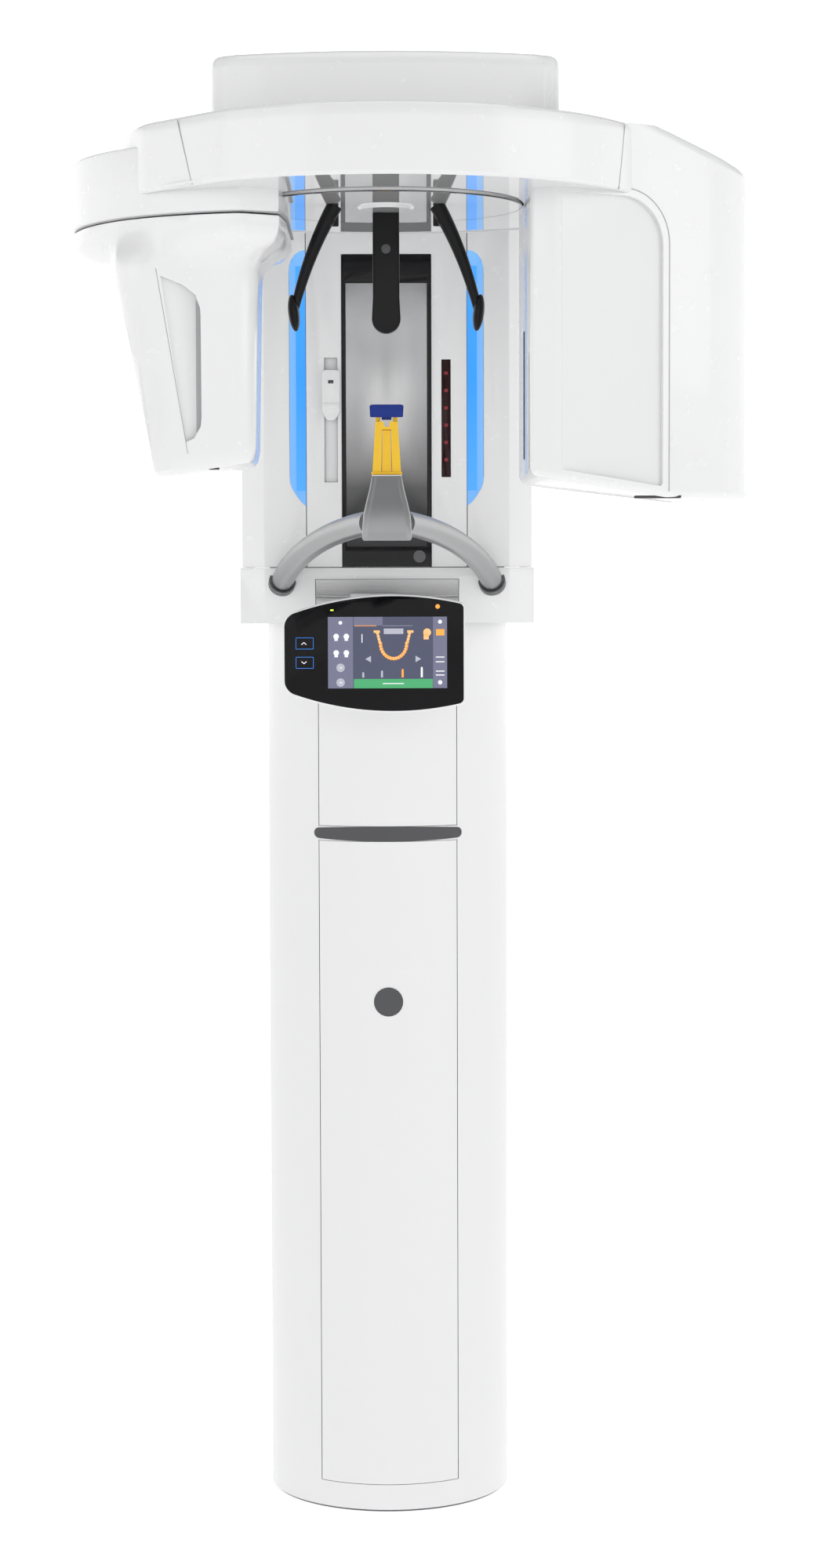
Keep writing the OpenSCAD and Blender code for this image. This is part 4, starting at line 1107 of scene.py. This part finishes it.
@dataclass
class HeadSupports(Assembly):
    """The round disc over the patient, the two temple arms and the forehead rest."""

    axis: Point2 = ROTOR_AXIS

    def build(self) -> None:
        """Builds the disc and the three supports."""
        centre = (*self.axis, 0.0)
        disc = Shaper()
        disc.turned([
            (0.0001, 1.6230), (0.029, 1.6230), (0.0305, 1.6245), (0.0315, 1.6257), (0.1480, 1.6257),
            (0.1492, 1.6263), (0.1496, 1.6272), (0.1496, 1.6290), (0.0001, 1.6290),
        ], centre)
        disc.piece("round_disc", UNDERSIDE_WHITE, "carriage", "cover_white", ["head_disc"], SHARP_ON_FLATS)
        rim = Shaper()
        rim.turned([
            (0.1488, 1.6256), (0.1498, 1.6260), (0.1499, 1.6264), (0.1499, 1.6270), (0.1488, 1.6268), (0.1488, 1.6256),
        ], centre)
        rim.piece("head_disc_rim", SENSOR_GLASS, "carriage", "sensor_glass")
        self.lugs()
        for side in Side:
            self.temple(side)
        self.forehead()

    def lugs(self) -> None:
        """Builds the small brackets that the supports turn in."""
        shape = Shaper()
        y = self.axis[1]
        shape.pair((0.0515, y - 0.0231, 1.6030), (0.0605, y - 0.0195, 1.6260), 0.0012)
        shape.pair((0.0080, y + 0.0415, 1.6010), (0.0135, y + 0.0455, 1.6260), 0.0012)
        shape.piece("support_lugs", SUPPORT_BLACK, "carriage", "support_black")

    def temple(self, side: Side) -> None:
        """Builds one curved temple arm with its pad."""
        s, y = side.value, self.axis[1] - 0.031
        shape = Shaper()
        path = []
        for t in (k / 24 for k in range(25)):
            out = 0.1008 * (1 - t) ** 2 + 0.1696 * t * (1 - t) + 0.0556 * t * t
            path.append((s * out, y, 1.5085 * (1 - t) ** 2 + 3.1490 * t * (1 - t) + 1.6248 * t * t))
        shape.sweep(path, 0.0062, 0.0074, lambda t: 0.74 + 0.66 * t, 24)
        shape.rod((s * 0.0620, y - 0.0074, 1.608), (s * 0.0620, y + 0.0076, 1.608), 0.0060, edge=0.001)
        pad = bmesh.ops.create_uvsphere(shape.bm, u_segments=28, v_segments=20, radius=1.0)["verts"]
        bmesh.ops.scale(shape.bm, vec=(0.0062, 0.0125, 0.0200), verts=pad)
        for vert in pad:
            vert.co.x += s * 0.0022 * (vert.co.z / 0.020)
        bmesh.ops.translate(shape.bm, vec=(s * 0.1008, y, 1.5085), verts=pad)
        shape.piece(
            f"temple_support_{side.label}", SUPPORT_BLACK, f"temple_{side.label}", "support_black",
            [f"temple_arm_{side.label}"],
        )

    def forehead(self) -> None:
        """Builds the flat forehead bar, its round foot and its knob."""
        shape = Shaper()
        y = self.axis[1] + 0.030
        low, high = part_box("forehead_rest")
        half = 0.0148
        rounded = arc((0.0, 1.5065), 0.0160, 180, 360, 16)
        outline = [(-half, 1.6240), (-half, 1.53), *rounded, (half, 1.53), (half, 1.6240)]
        shape.prism(outline[::-1], y - 0.0075, y + 0.006, 0.0, 0.0022, Axis.Y)
        shape.rod((0, y + 0.004, 1.5065), (0, high.y - 0.0005, 1.5065), 0.0150, 0.0125, edge=0.003)
        shape.piece("forehead_bar", SUPPORT_BLACK, "forehead", "support_black", ["forehead_rest"])
        knob = Shaper()
        knob.rod((0, low.y + 0.0002, 1.583), (0, y - 0.007, 1.583), 0.0053, edge=0.0008)
        knob.piece("forehead_knob", STRIP_GREY, "forehead", "support_black")


# ---------------------------------------------------------------- the rotor


@dataclass
class Rotor(Assembly):
    """The turning ring with the tube head on one side and the sensor head on the other."""

    axis: Point2 = ROTOR_AXIS
    radius: float = 0.286
    low: float = 1.627
    high: float = 1.7008
    flat: Point2 = (37.0, 63.0)
    tube_low: float = 1.306
    tube_plan: tuple[Point2, ...] = (
        (0.152, -0.868), (0.185, -0.880), (0.305, -0.812), (0.366, -0.765),
        (0.403, -0.715), (0.403, -0.600), (0.355, -0.560), (0.152, -0.560),
    )
    tube_corners: tuple[float, ...] = (0.006, 0.010, 0.0, 0.018, 0.030, 0.030, 0.030, 0.020)
    lobe_centre: Point2 = (-0.097, -0.640)
    lobe_r: float = 0.254

    def build(self) -> None:
        """Builds the ring, both heads' covers and the seams."""
        self.ring()
        self.underside()
        self.tube_head()
        self.sensor_lobe()
        self.seams()
        dress(self.nodes, RAW_ALUMINIUM, "rotor_neck", "rotor_plate")
        dress(self.nodes, TANK_METAL, "xray_tank")
        dress(self.nodes, COLLIMATOR_DARK, "collimator")

    def ring(self) -> None:
        """Builds the drum with the flat facet at its front left."""
        r, lo, hi = self.radius, self.low, self.high
        shape = Shaper()
        shape.turned([
            (0.085, hi - 0.003), (0.085, hi - 0.0008), (0.0858, hi), (r - 0.009, hi), (r - 0.005, hi - 0.0012),
            (r - 0.0018, hi - 0.004), (r - 0.0004, hi - 0.0085), (r, hi - 0.016), (r, lo + 0.0035),
            (r - 0.001, lo + 0.001), (r - 0.0035, lo), (r - 0.0045, lo + 0.0004), (r - 0.005, lo + 0.003),
            (r - 0.005, hi - 0.003), (0.085, hi - 0.003),
        ], (*self.axis, 0.0), 216)
        start, end = (math.radians(a) for a in self.flat)
        middle, half = (start + end) / 2, (end - start) / 2
        for vert in shape.bm.verts:
            dx, dy = vert.co.x - self.axis[0], vert.co.y - self.axis[1]
            reach, angle = math.hypot(dx, dy), math.atan2(-dx, -dy)
            if reach > r - 0.0095 and abs(angle - middle) < half:
                share = math.cos(half) / math.cos(angle - middle)
                vert.co.x, vert.co.y = self.axis[0] + dx * share, self.axis[1] + dy * share
        shape.piece("rotor_ring", COVER_WHITE, "rotor", "cover_white", ["rotor_shell"], 20.0)

    def underside(self) -> None:
        """Builds the glossy panel under the ring."""
        shape = Shaper()
        inner, outer, low, high = 0.1515, self.radius - 0.0055, self.low + 0.0014, self.low + 0.0044
        shape.turned([(inner, low), (inner, high), (outer, high), (outer, low), (inner, low)], (*self.axis, 0.0), 200)
        shape.piece(
            "ring_underside", UNDERSIDE_WHITE, "rotor", "cover_white", ["rotor_underside"], SHARP_ON_FLATS)

    def tube_head(self) -> None:
        """Builds the tube head: one cover with a recessed inner face."""
        shape = Shaper()
        shape.prism(self.tube_plan, self.tube_low, self.high, self.tube_corners, segments=8)
        shape.trim((0.290, 0, self.high), (0.046 / 0.130, 0, 1.0))
        lowest = [e for e in shape.creases(50.0) if all(v.co.z < self.tube_low + 0.001 for v in e.verts)]
        shape.soften(lowest, 0.009, 4)
        shoulder = [e for e in shape.creases(50.0) if all(v.co.z > 1.640 and v.co.x > 0.28 for v in e.verts)]
        shape.soften(shoulder, 0.010, 5)
        stands_for = ["tube_cover_outer", "tube_cover_inner"]
        head = shape.piece("tube_head_cover", COVER_WHITE, "rotor", "cover_white", stands_for)
        carve(head, self.recess())
        self.slant(head)
        face = Shaper()
        a, along, inward, length = self.front_line()
        depths = [(length * k / 16, 0.0020 + 0.0040 * math.sin(math.pi * k / 18)) for k in range(17)]
        near = [a + along * u + inward * d for u, d in depths]
        far = [a + along * length + inward * 0.0105, a + inward * 0.0105]
        face.prism([(p.x, p.y) for p in (*near, *far)], 1.3165, 1.6262)
        panel = face.piece("tube_head_face", FACE_WHITE, "rotor", "cover_grey")
        self.slant(panel)
        slot = Shaper()
        slot.block((0.1512, self.axis[1] - 0.007, 1.350), (0.1530, self.axis[1] + 0.007, 1.490), 0.0005)
        slot.piece("beam_slot", DEEP_SHADE, "rotor", "collimator_dark")
        foot = Shaper()
        foot.block((0.268, -0.800, self.tube_low - 0.0008), (0.318, -0.785, self.tube_low + 0.002), 0.0006)
        foot.piece("tube_head_foot_slot", DEEP_SHADE, "rotor", "collimator_dark")

    def slant(self, made: bpy.types.Object) -> None:
        """Slants the tube head's foot upwards towards the patient."""
        sink(made, 1.42, 0.10, lambda x: 0.17 * max(0.280 - x, 0.0))

    def front_line(self) -> tuple[Vector, Vector, Vector, float]:
        """Returns the tube head's front in plan: its start, its direction, the way in and its length."""
        a, b = Vector((0.186, -0.8795, 0.0)), Vector((0.305, -0.812, 0.0))
        along = (b - a).normalized()
        return a, along, Vector((-along.y, along.x, 0.0)), (b - a).length

    def recess(self) -> bpy.types.Object:
        """Returns the cutter for the tube head's recessed face, with its arched corner."""
        a, along, inward, length = self.front_line()
        low, high, r = 1.3175, 1.6240, 0.050
        end = length - 0.0095
        outline = [
            (0.0, low), (length - 0.012, low), (end, low + 0.003), *arc((end - r, high - r), r, 0, 90, 12), (0.0, high),
        ]
        shape = Shaper()
        front = shape.face([tuple(a + along * u - inward * 0.02 + Vector((0, 0, z))) for u, z in outline])
        shape.pull(front, inward * 0.0300)
        shape.outward()
        return shape.loose("recess")

    def lobe(self, shrink: float = 0.0) -> list[Point2]:
        """Returns the outline of the sensor side's lobe.

        Args:
            shrink: how far inside the lobe's wall it runs.
        """
        r = self.lobe_r - shrink
        curve = arc(self.lobe_centre, r, -102.5, -195.0, 40)
        return [
            (-0.113 + shrink * 0.7, -0.864 + shrink * 0.7), (-0.108 + shrink, -0.800), (-0.108 + shrink, -0.600),
            (-0.150, -0.575 - shrink), (-0.300, -0.560 - shrink), *reversed(curve),
        ]

    def sensor_lobe(self) -> None:
        """Builds the lobe over the sensor head and the collar below the ring."""
        shape = Shaper()
        shape.prism(self.lobe(), 1.6045, 1.678, 0.0, 0.003)
        shape.piece("sensor_lobe", COVER_WHITE, "rotor", "cover_white", ["sensor_collar"])
        joint = Shaper()
        joint.prism(self.lobe(0.003), 1.6034, 1.6060)
        joint.piece("collar_joint", SEAM_AND_SHADE_GREY, "rotor", "cover_white")

    def seams(self) -> None:
        """Adds the thin joints between the ring's covers."""
        shape = Shaper()
        for degrees, tilt in ((48.5, 2.5), (-60.5, -1.5)):
            r = self.radius
            top, bottom = math.radians(degrees + tilt), math.radians(degrees - tilt)
            if self.flat[0] < degrees < self.flat[1]:
                r *= 0.976
            ends = [
                (self.axis[0] - r * math.sin(turn), self.axis[1] - r * math.cos(turn), z)
                for turn, z in ((top, self.high - 0.004), (bottom, self.low + 0.0005))
            ]
            shape.rod(*ends, 0.0006, sides=8)
        shape.piece("ring_seams", SEAM_AND_SHADE_GREY, "rotor", "cover_white")
        arch = Shaper()
        a, along, inward, length = self.front_line()
        bend = arc((length - 0.0015 - 0.056, 1.6320 - 0.056), 0.056, 0, 90, 12)
        line = [(length - 0.0015, 1.312), *bend, (length - 0.075, 1.633)]
        path = [tuple(a + along * u + Vector((0, 0, z))) for u, z in line]
        arch.sweep(path, 0.0006, sides=8, side_on=inward)
        arch.piece("tube_head_seam", SEAM_AND_SHADE_GREY, "rotor", "cover_white")


@dataclass
class SensorHead(Assembly):
    """The swivelling sensor head with its hand scoop."""

    rows: tuple[tuple[float, float, float, float, float, float, float], ...] = (
        (1.6016, -0.3000, -0.1370, -0.8480, -0.6680, 0.036, 0.97),
        (1.6008, -0.3000, -0.1370, -0.8480, -0.6680, 0.036, 1.00),
        (1.5920, -0.2985, -0.1370, -0.8480, -0.6680, 0.036, 1.00),
        (1.5840, -0.2970, -0.1370, -0.8480, -0.6680, 0.036, 0.95),
        (1.5750, -0.2955, -0.1370, -0.8480, -0.6680, 0.036, 0.76),
        (1.5660, -0.2935, -0.1370, -0.8480, -0.6680, 0.036, 0.40),
        (1.5580, -0.2920, -0.1371, -0.8480, -0.6680, 0.036, 0.13),
        (1.5480, -0.2905, -0.1371, -0.8478, -0.6682, 0.035, 0.03),
        (1.5250, -0.2865, -0.1372, -0.8466, -0.6694, 0.030, 0.00),
        (1.4500, -0.2712, -0.1385, -0.8430, -0.6740, 0.028, 0.00),
        (1.3550, -0.2520, -0.1400, -0.8390, -0.6800, 0.026, 0.00),
        (1.3440, -0.2490, -0.1420, -0.8370, -0.6820, 0.024, 0.00),
        (1.3395, -0.2440, -0.1460, -0.8330, -0.6860, 0.020, 0.00),
        (1.3382, -0.2380, -0.1520, -0.8270, -0.6920, 0.016, 0.00),
    )
    middle: Point2 = (-0.215, -0.750)
    sides: int = 120

    def section(self, row: tuple[float, float, float, float, float, float, float]) -> list[Point3]:
        """Returns one level section, which goes over from the collar's outline to the head's.

        Args:
            row: the height, the head's left, right, front and back, its corner radius and the collar's share.
        """
        z, x0, x1, y0, y1, r, share = row
        head = [corner[:2] for corner in round_box((x0, y0), (x1, y1), r, z)]
        collar = Rotor(self.nodes).lobe(0.001)
        ring: list[Point3] = []
        for k in range(self.sides):
            angle = math.tau * k / self.sides
            far = (1 - share) * reach(head, self.middle, angle) + share * reach(collar, self.middle, angle)
            ring.append((self.middle[0] + far * math.cos(angle), self.middle[1] + far * math.sin(angle), z))
        return ring

    def build(self) -> None:
        """Builds the head's shell, a grey strip of painted shade in its scoop, its seam and its small slot."""
        shape = Shaper()
        shape.loft([self.section(row) for row in self.rows])
        head = shape.piece("sensor_head", COVER_WHITE, "sensor_head", "cover_white", ["sensor_shell"])
        carve(head, self.scoop())
        sink(head, 1.42, 0.07, lambda x: -0.010 + 0.14 * (x + 0.245))
        # Painted shade: a thin grey strip on the scoop's deep right wall stands in for the shade there.
        shade = Shaper()
        shade.prism(
            [(-0.2030, 1.3750), (-0.1990, 1.3830), (-0.1975, 1.3930), (-0.1975, 1.4980), (-0.1985, 1.5080),
             (-0.2035, 1.5180)], -0.8315, -0.8305, axis=Axis.Y)
        shade.piece("scoop_shade", SEAM_AND_SHADE_GREY, "sensor_head", "cover_white")
        slot = Shaper()
        slot.block((-0.190, -0.8300, 1.3360), (-0.179, -0.8265, 1.3385), 0.0003)
        slot.piece("sensor_head_slot", DEEP_SHADE, "sensor_head", "sensor_dark")
        seam = Shaper()
        path = []
        for row in self.rows[7:11]:
            share = (1.5840 - row[0]) / (1.5840 - 1.3550)
            path.append((-0.2500 + 0.0380 * share, row[3] + 0.0002, row[0] - 0.008 * max(share - 0.7, 0.0)))
        seam.sweep(path, 0.0005, sides=8)
        seam.piece("sensor_head_seam", SEAM_AND_SHADE_GREY, "sensor_head", "cover_white")
        dress(self.nodes, COLLIMATOR_DARK, "pan_sensor")
        dress(self.nodes, GROUND_STEEL, "sensor_spindle")

    def scoop(self) -> bpy.types.Object:
        """Returns the cutter for the hand scoop: shallow on the left, deep on the right."""
        outline = [(-0.2390, 1.5400), (-0.2160, 1.5310), (-0.2020, 1.5200), (-0.1975, 1.5060), (-0.1970, 1.4980),
                   (-0.1970, 1.3930), (-0.1980, 1.3830), (-0.2050, 1.3720), (-0.2140, 1.3690), (-0.2250, 1.4400)]
        shape = Shaper()
        front = shape.face([(x, -0.870, z) for x, z in outline])
        for vert in shape.pull(front, Vector((0, 0.0265, 0))):
            share = min(max((vert.co.x + 0.2390) / 0.042, 0.0), 1.0)
            vert.co.y += 0.014 * share
        shape.outward()
        return shape.loose("scoop")


# ---------------------------------------------------------------- the control panel


@dataclass
class ControlPanel(Assembly):
    """The touch panel: case, glass, keys and what the display shows."""

    bulge: float = 0.375
    height: float = 0.147
    lean: float = 0.024
    display: tuple[Point2, Point2] = ((-0.0738, 0.0742), (1.0818, 1.1718))
    scale: float = 0.000971
    lift: float = 0.00025
    face_y: float = 0.0
    shapes: dict[str, Shaper] = field(default_factory=dict)
    layers: dict[str, Finish] = field(default_factory=lambda: {
        "slate": lit("display slate", (0.055, 0.062, 0.110), 0.9),
        "violet": lit("display violet", (0.135, 0.140, 0.215), 0.9),
        "grey": lit("display grey", (0.42, 0.43, 0.50), 0.8),
        "white": lit("display white", (0.80, 0.80, 0.84), 0.8),
        "orange": lit("display orange", (0.93, 0.36, 0.05), 0.9),
        "pale orange": lit("display pale orange", (0.95, 0.52, 0.20), 0.8),
        "green": lit("display green", (0.05, 0.34, 0.13), 0.9),
        "blue": lit("key blue", (0.03, 0.22, 0.75), 1.0),
        "lamp": lit("lamp green", (0.55, 0.85, 0.05), 1.5),
    })
    depth: dict[str, int] = field(default_factory=lambda: {
        "slate": 1, "violet": 2, "green": 2, "grey": 3, "white": 4, "orange": 4, "pale orange": 3, "blue": 1, "lamp": 1,
    })

    def outline(self, shrink: float) -> list[Point2]:
        """Returns the panel's rounded outline in x and z.

        Args:
            shrink: how far inside the case's edge it runs.
        """
        low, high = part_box("panel_case")
        x0, x1 = low.x + shrink, high.x - shrink
        mid, z = (low.x + high.x) / 2, (low.z + high.z) / 2
        half, r = self.height / 2 - shrink, self.bulge - shrink
        across = [x0 + (x1 - x0) * i / 20 for i in range(21)]
        top = [(x, z + half - r + math.sqrt(r * r - (x - mid - self.lean) ** 2)) for x in across]
        return [*top, *[(x, 2 * z - t) for x, t in reversed(top)]]

    def build(self) -> None:
        """Builds the case, the glass and the picture on the display."""
        low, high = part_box("panel_case")
        front = low.y
        corner = [0.0] * 42
        corner[0] = corner[41] = 0.013
        corner[20] = corner[21] = 0.005
        case = Shaper()
        case.prism(self.outline(0.0), front, front + 0.022, corner, 0.0016, Axis.Y)
        case.block((low.x + 0.090, front + 0.0215, 1.1285), (low.x + 0.137, high.y - 0.001, 1.1435), 0.002)
        case.piece("panel_body", COVER_WHITE, "control_panel", "cover_white", ["panel_case"])
        self.face_y = front - 0.0006
        glass = Shaper()
        glass.prism(self.outline(0.0021), self.face_y, front + 0.001, corner, 0.0004, Axis.Y)
        glass.piece("panel_front", PANEL_BLACK, "control_panel", "panel_black", ["panel_glass"])
        dress(self.nodes, YOKE_GREY, "panel_yoke")
        self.shapes = {name: Shaper() for name in self.layers}
        self.screen()
        self.jaw()
        self.keys()
        for name, finish in self.layers.items():
            self.shapes[name].piece(f"display_{name.replace(' ', '_')}", finish, "control_panel", "panel_black")

    def spot(self, x: float, z: float) -> Point2:
        """Returns where a point of the display lies, given in its own units from its upper left corner."""
        return self.display[0][0] + x * self.scale, self.display[1][1] - z * self.scale

    def ends(self, layer: str) -> Point2:
        """Returns the front and back of a layer's pieces: the more depth, the nearer the viewer."""
        return self.face_y - self.lift * self.depth[layer] / 2, self.face_y + 0.0003

    def patch(self, layer: str, x0: float, x1: float, z0: float, z1: float) -> None:
        """Adds a thin lit rectangle.

        Args:
            layer: which of the display's colours it has.
            x0: its left edge.
            x1: its right edge.
            z0: its upper edge.
            z1: its lower edge.
        """
        (left, top), (right, bottom) = self.spot(x0, z0), self.spot(x1, z1)
        front, back = self.ends(layer)
        self.shapes[layer].block((left, front, bottom), (right, back, top), 0.0)

    def dot(self, layer: str, x: float, z: float, r: float, sides: int = 16) -> None:
        """Adds a thin lit disc, placed as a patch is."""
        (cx, cz), (front, back) = self.spot(x, z), self.ends(layer)
        self.shapes[layer].rod((cx, back, cz), (cx, front, cz), r * self.scale, sides=sides)

    def arrow(self, layer: str, x: float, z: float, size: float, way: int) -> None:
        """Adds a thin lit triangle that points left (-1) or right (1)."""
        (cx, cz), (front, back) = self.spot(x, z), self.ends(layer)
        h = size * self.scale
        tip, tail = cx + way * h, cx - way * h * 0.7
        self.shapes[layer].prism([(tip, cz), (tail, cz + h), (tail, cz - h)], front, back, axis=Axis.Y)

    def screen(self) -> None:
        """Lays out the display: side columns, tabs, icons and the status bar."""
        for layer, *edges in (
            ("slate", 0, 152.4, 0, 91.4), ("violet", 0, 32, 0, 91.4), ("violet", 134.5, 152.4, 0, 91.4),
            ("violet", 33, 70, 0, 11), ("orange", 34, 62, 11, 11.8), ("grey", 70, 108, 11.2, 11.6),
            ("green", 33, 134, 79.5, 91.4), ("white", 70, 97, 84.8, 86.0),
        ):
            self.patch(layer, *edges)
        for x, z in ((10.5, 25), (23.5, 25), (10.5, 46), (23.5, 46)):
            self.dot("white", x, z, 3.6)
            self.patch("white", x - 2.2, x + 2.2, z + 3, z + 5.6)
        self.dot("white", 16, 7.5, 2.4)
        for z in (65, 84):
            self.dot("grey", 16, z, 5.4, 24)
            self.dot("violet", 16, z, 4.4, 24)
            left, level = self.spot(0, z)
            y = self.face_y - 0.0006
            self.shapes["white"].rod((left + 0.0145, y, level), (left + 0.0175, y, level), 0.0006, sides=6)
        self.dot("white", 143.5, 6.5, 2.6)
        self.patch("orange", 138.5, 149, 16, 24)
        self.patch("pale orange", 140, 147.5, 18, 22)
        for z in (51, 57, 69, 74):
            self.patch("white", 138, 149, z, z + 1.3)
        self.dot("white", 143.5, 84, 2.8)
        self.arrow("grey", 52, 54, 4.2, -1)
        self.arrow("grey", 115, 54, 4.2, 1)
        for x, h, layer in ((45, 4.5, "grey"), (69, 6.5, "grey"), (95.5, 8.5, "orange"), (120, 11, "white")):
            self.dot(layer, x, 76.5 - h, 1.3)
            self.patch(layer, x - 1.3, x + 1.3, 77.5 - h, 77.5)
        self.dot("pale orange", 127, 20, 5.0, 24)
        self.patch("pale orange", 122.5, 129, 22, 29)
        self.patch("white", 43, 44.2, 22, 33)

    def jaw(self) -> None:
        """Draws the arch of teeth in the middle of the display."""
        x, top, half, drop = 84.0, 21.0, 21.0, 27.0
        for k in range(17):
            angle = math.pi * k / 16
            px = x + half * 0.80 * math.cos(angle)
            pz = top + 13.0 + drop * 0.72 * math.sin(angle)
            self.dot("orange", px, pz, 2.3, 12)
            self.dot("white", px - 0.5, pz - 0.4, 1.0, 8)
        for s in (-1, 1):
            for k in range(4):
                self.dot("pale orange", x + s * (half * 0.80 + 1.0 + 0.9 * k), top + 11.0 - 3.6 * k, 2.0, 12)
            self.patch("pale orange", x + s * 21.5 - 4, x + s * 21.5 + 4, top - 3.6, top - 0.6)
        self.patch("grey", x - 12.5, x + 12.5, top - 6, top + 1.0)

    def keys(self) -> None:
        """Draws the two height keys, the lamp and the warning dot on the black glass."""
        for z, way in ((33.8, 1), (58.4, -1)):
            upper, lower = z - 7.4, z + 7.4
            for edges in (
                (-41.2, -18.6, upper, upper + 0.5), (-41.2, -18.6, lower - 0.5, lower),
                (-41.2, -40.7, upper, lower), (-19.1, -18.6, upper, lower),
            ):
                self.patch("blue", *edges)
            left, level = self.spot(0, z)
            tip = (left - 0.0299, self.face_y - 0.0002, level + way * 0.0013)
            for s in (-1, 1):
                end = (tip[0] + s * 0.0030, tip[1], tip[2] - way * 0.0028)
                self.shapes["white"].rod(tip, end, 0.0005, sides=6)
        self.patch("lamp", 3.2, 7.2, -9.5, -7.7)
        self.dot("orange", 140.5, -13, 2.9, 24)


# ---------------------------------------------------------------- the room


@dataclass
class Studio:
    """The pale floor, the soft lights and the camera."""

    lens: float = 72.66
    place: Point3 = (0.0, -4.230, 1.2196)
    pitch: float = 3.721
    yaw: float = -0.375
    roll: float = -0.174

    def build(self) -> None:
        """Sets up floor, sky, lights and camera."""
        self.floor()
        self.sky()
        self.softbox("left softbox", (-2.6, -2.6, 2.9), (0.0, -0.3, 1.2), 2.6, 11.0)
        self.softbox("right softbox", (3.0, -2.0, 2.4), (0.0, -0.3, 1.1), 2.2, 13.0)
        self.softbox("top softbox", (0.2, -0.9, 4.2), (0.0, -0.4, 0.0), 2.6, 18.0)
        self.camera()

    def floor(self) -> None:
        """Builds the wide plain floor, which curves up into a low backdrop far off all round."""
        shape = Shaper()
        flat, turn, top = 25.0, 3.0, 10.0
        bend = arc((flat, turn), turn, -81, 0, 9)
        shape.turned([(0.01, 0.0), (flat, 0.0), *bend, (flat + turn, top)], (0.0, 0.0, 0.0), 96)
        bmesh.ops.remove_doubles(shape.bm, verts=list(shape.bm.verts), dist=0.02)
        for one in shape.bm.faces:
            one.smooth = True
        made = shape.loose("floor")
        made.data.materials.append(PALE_FLOOR.material())

    def sky(self) -> None:
        """Fills the room with even pale light."""
        world = bpy.data.worlds.new("room")
        world.use_nodes = True
        back = world.node_tree.nodes["Background"]
        back.inputs["Color"].default_value = (1.0, 1.0, 1.0, 1.0)
        back.inputs["Strength"].default_value = 0.46
        bpy.context.scene.world = world
        bpy.context.scene.view_settings.view_transform = "Standard"

    def softbox(self, name: str, place: Point3, aim: Point3, size: float, power: float) -> None:
        """Adds one large soft light.

        Args:
            name: the light's name.
            place: where it stands.
            aim: the point it faces.
            size: its edge length.
            power: its power in watts.
        """
        lamp = bpy.data.lights.new(name, "AREA")
        lamp.size, lamp.energy = size, power
        made = bpy.data.objects.new(name, lamp)
        made.location = place
        made.rotation_euler = (Vector(aim) - Vector(place)).to_track_quat("-Z", "Y").to_euler()
        bpy.context.scene.collection.objects.link(made)

    def camera(self) -> None:
        """Places the camera, level with the handles and a little above the middle."""
        lens = bpy.data.cameras.new("camera")
        lens.sensor_width, lens.lens = 36.0, self.lens
        made = bpy.data.objects.new("camera", lens)
        made.matrix_world = Matrix.Translation(self.place)
        for angle, axis in ((self.yaw, "Z"), (90.0 - self.pitch, "X"), (self.roll, "Z")):
            made.matrix_world = made.matrix_world @ Matrix.Rotation(math.radians(angle), 4, axis)
        bpy.context.scene.collection.objects.link(made)
        bpy.context.scene.camera = made


def main() -> None:
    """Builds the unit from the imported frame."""
    logging.basicConfig(level=logging.INFO, format="%(message)s")
    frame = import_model()
    nodes = frame["nodes"]
    for assembly in (Column, HandleBlock, Housing, Handles, Arm, HeadSupports, Rotor, SensorHead, ControlPanel):
        assembly(nodes).build()
    Studio().build()


if __name__ == "__main__":
    main()
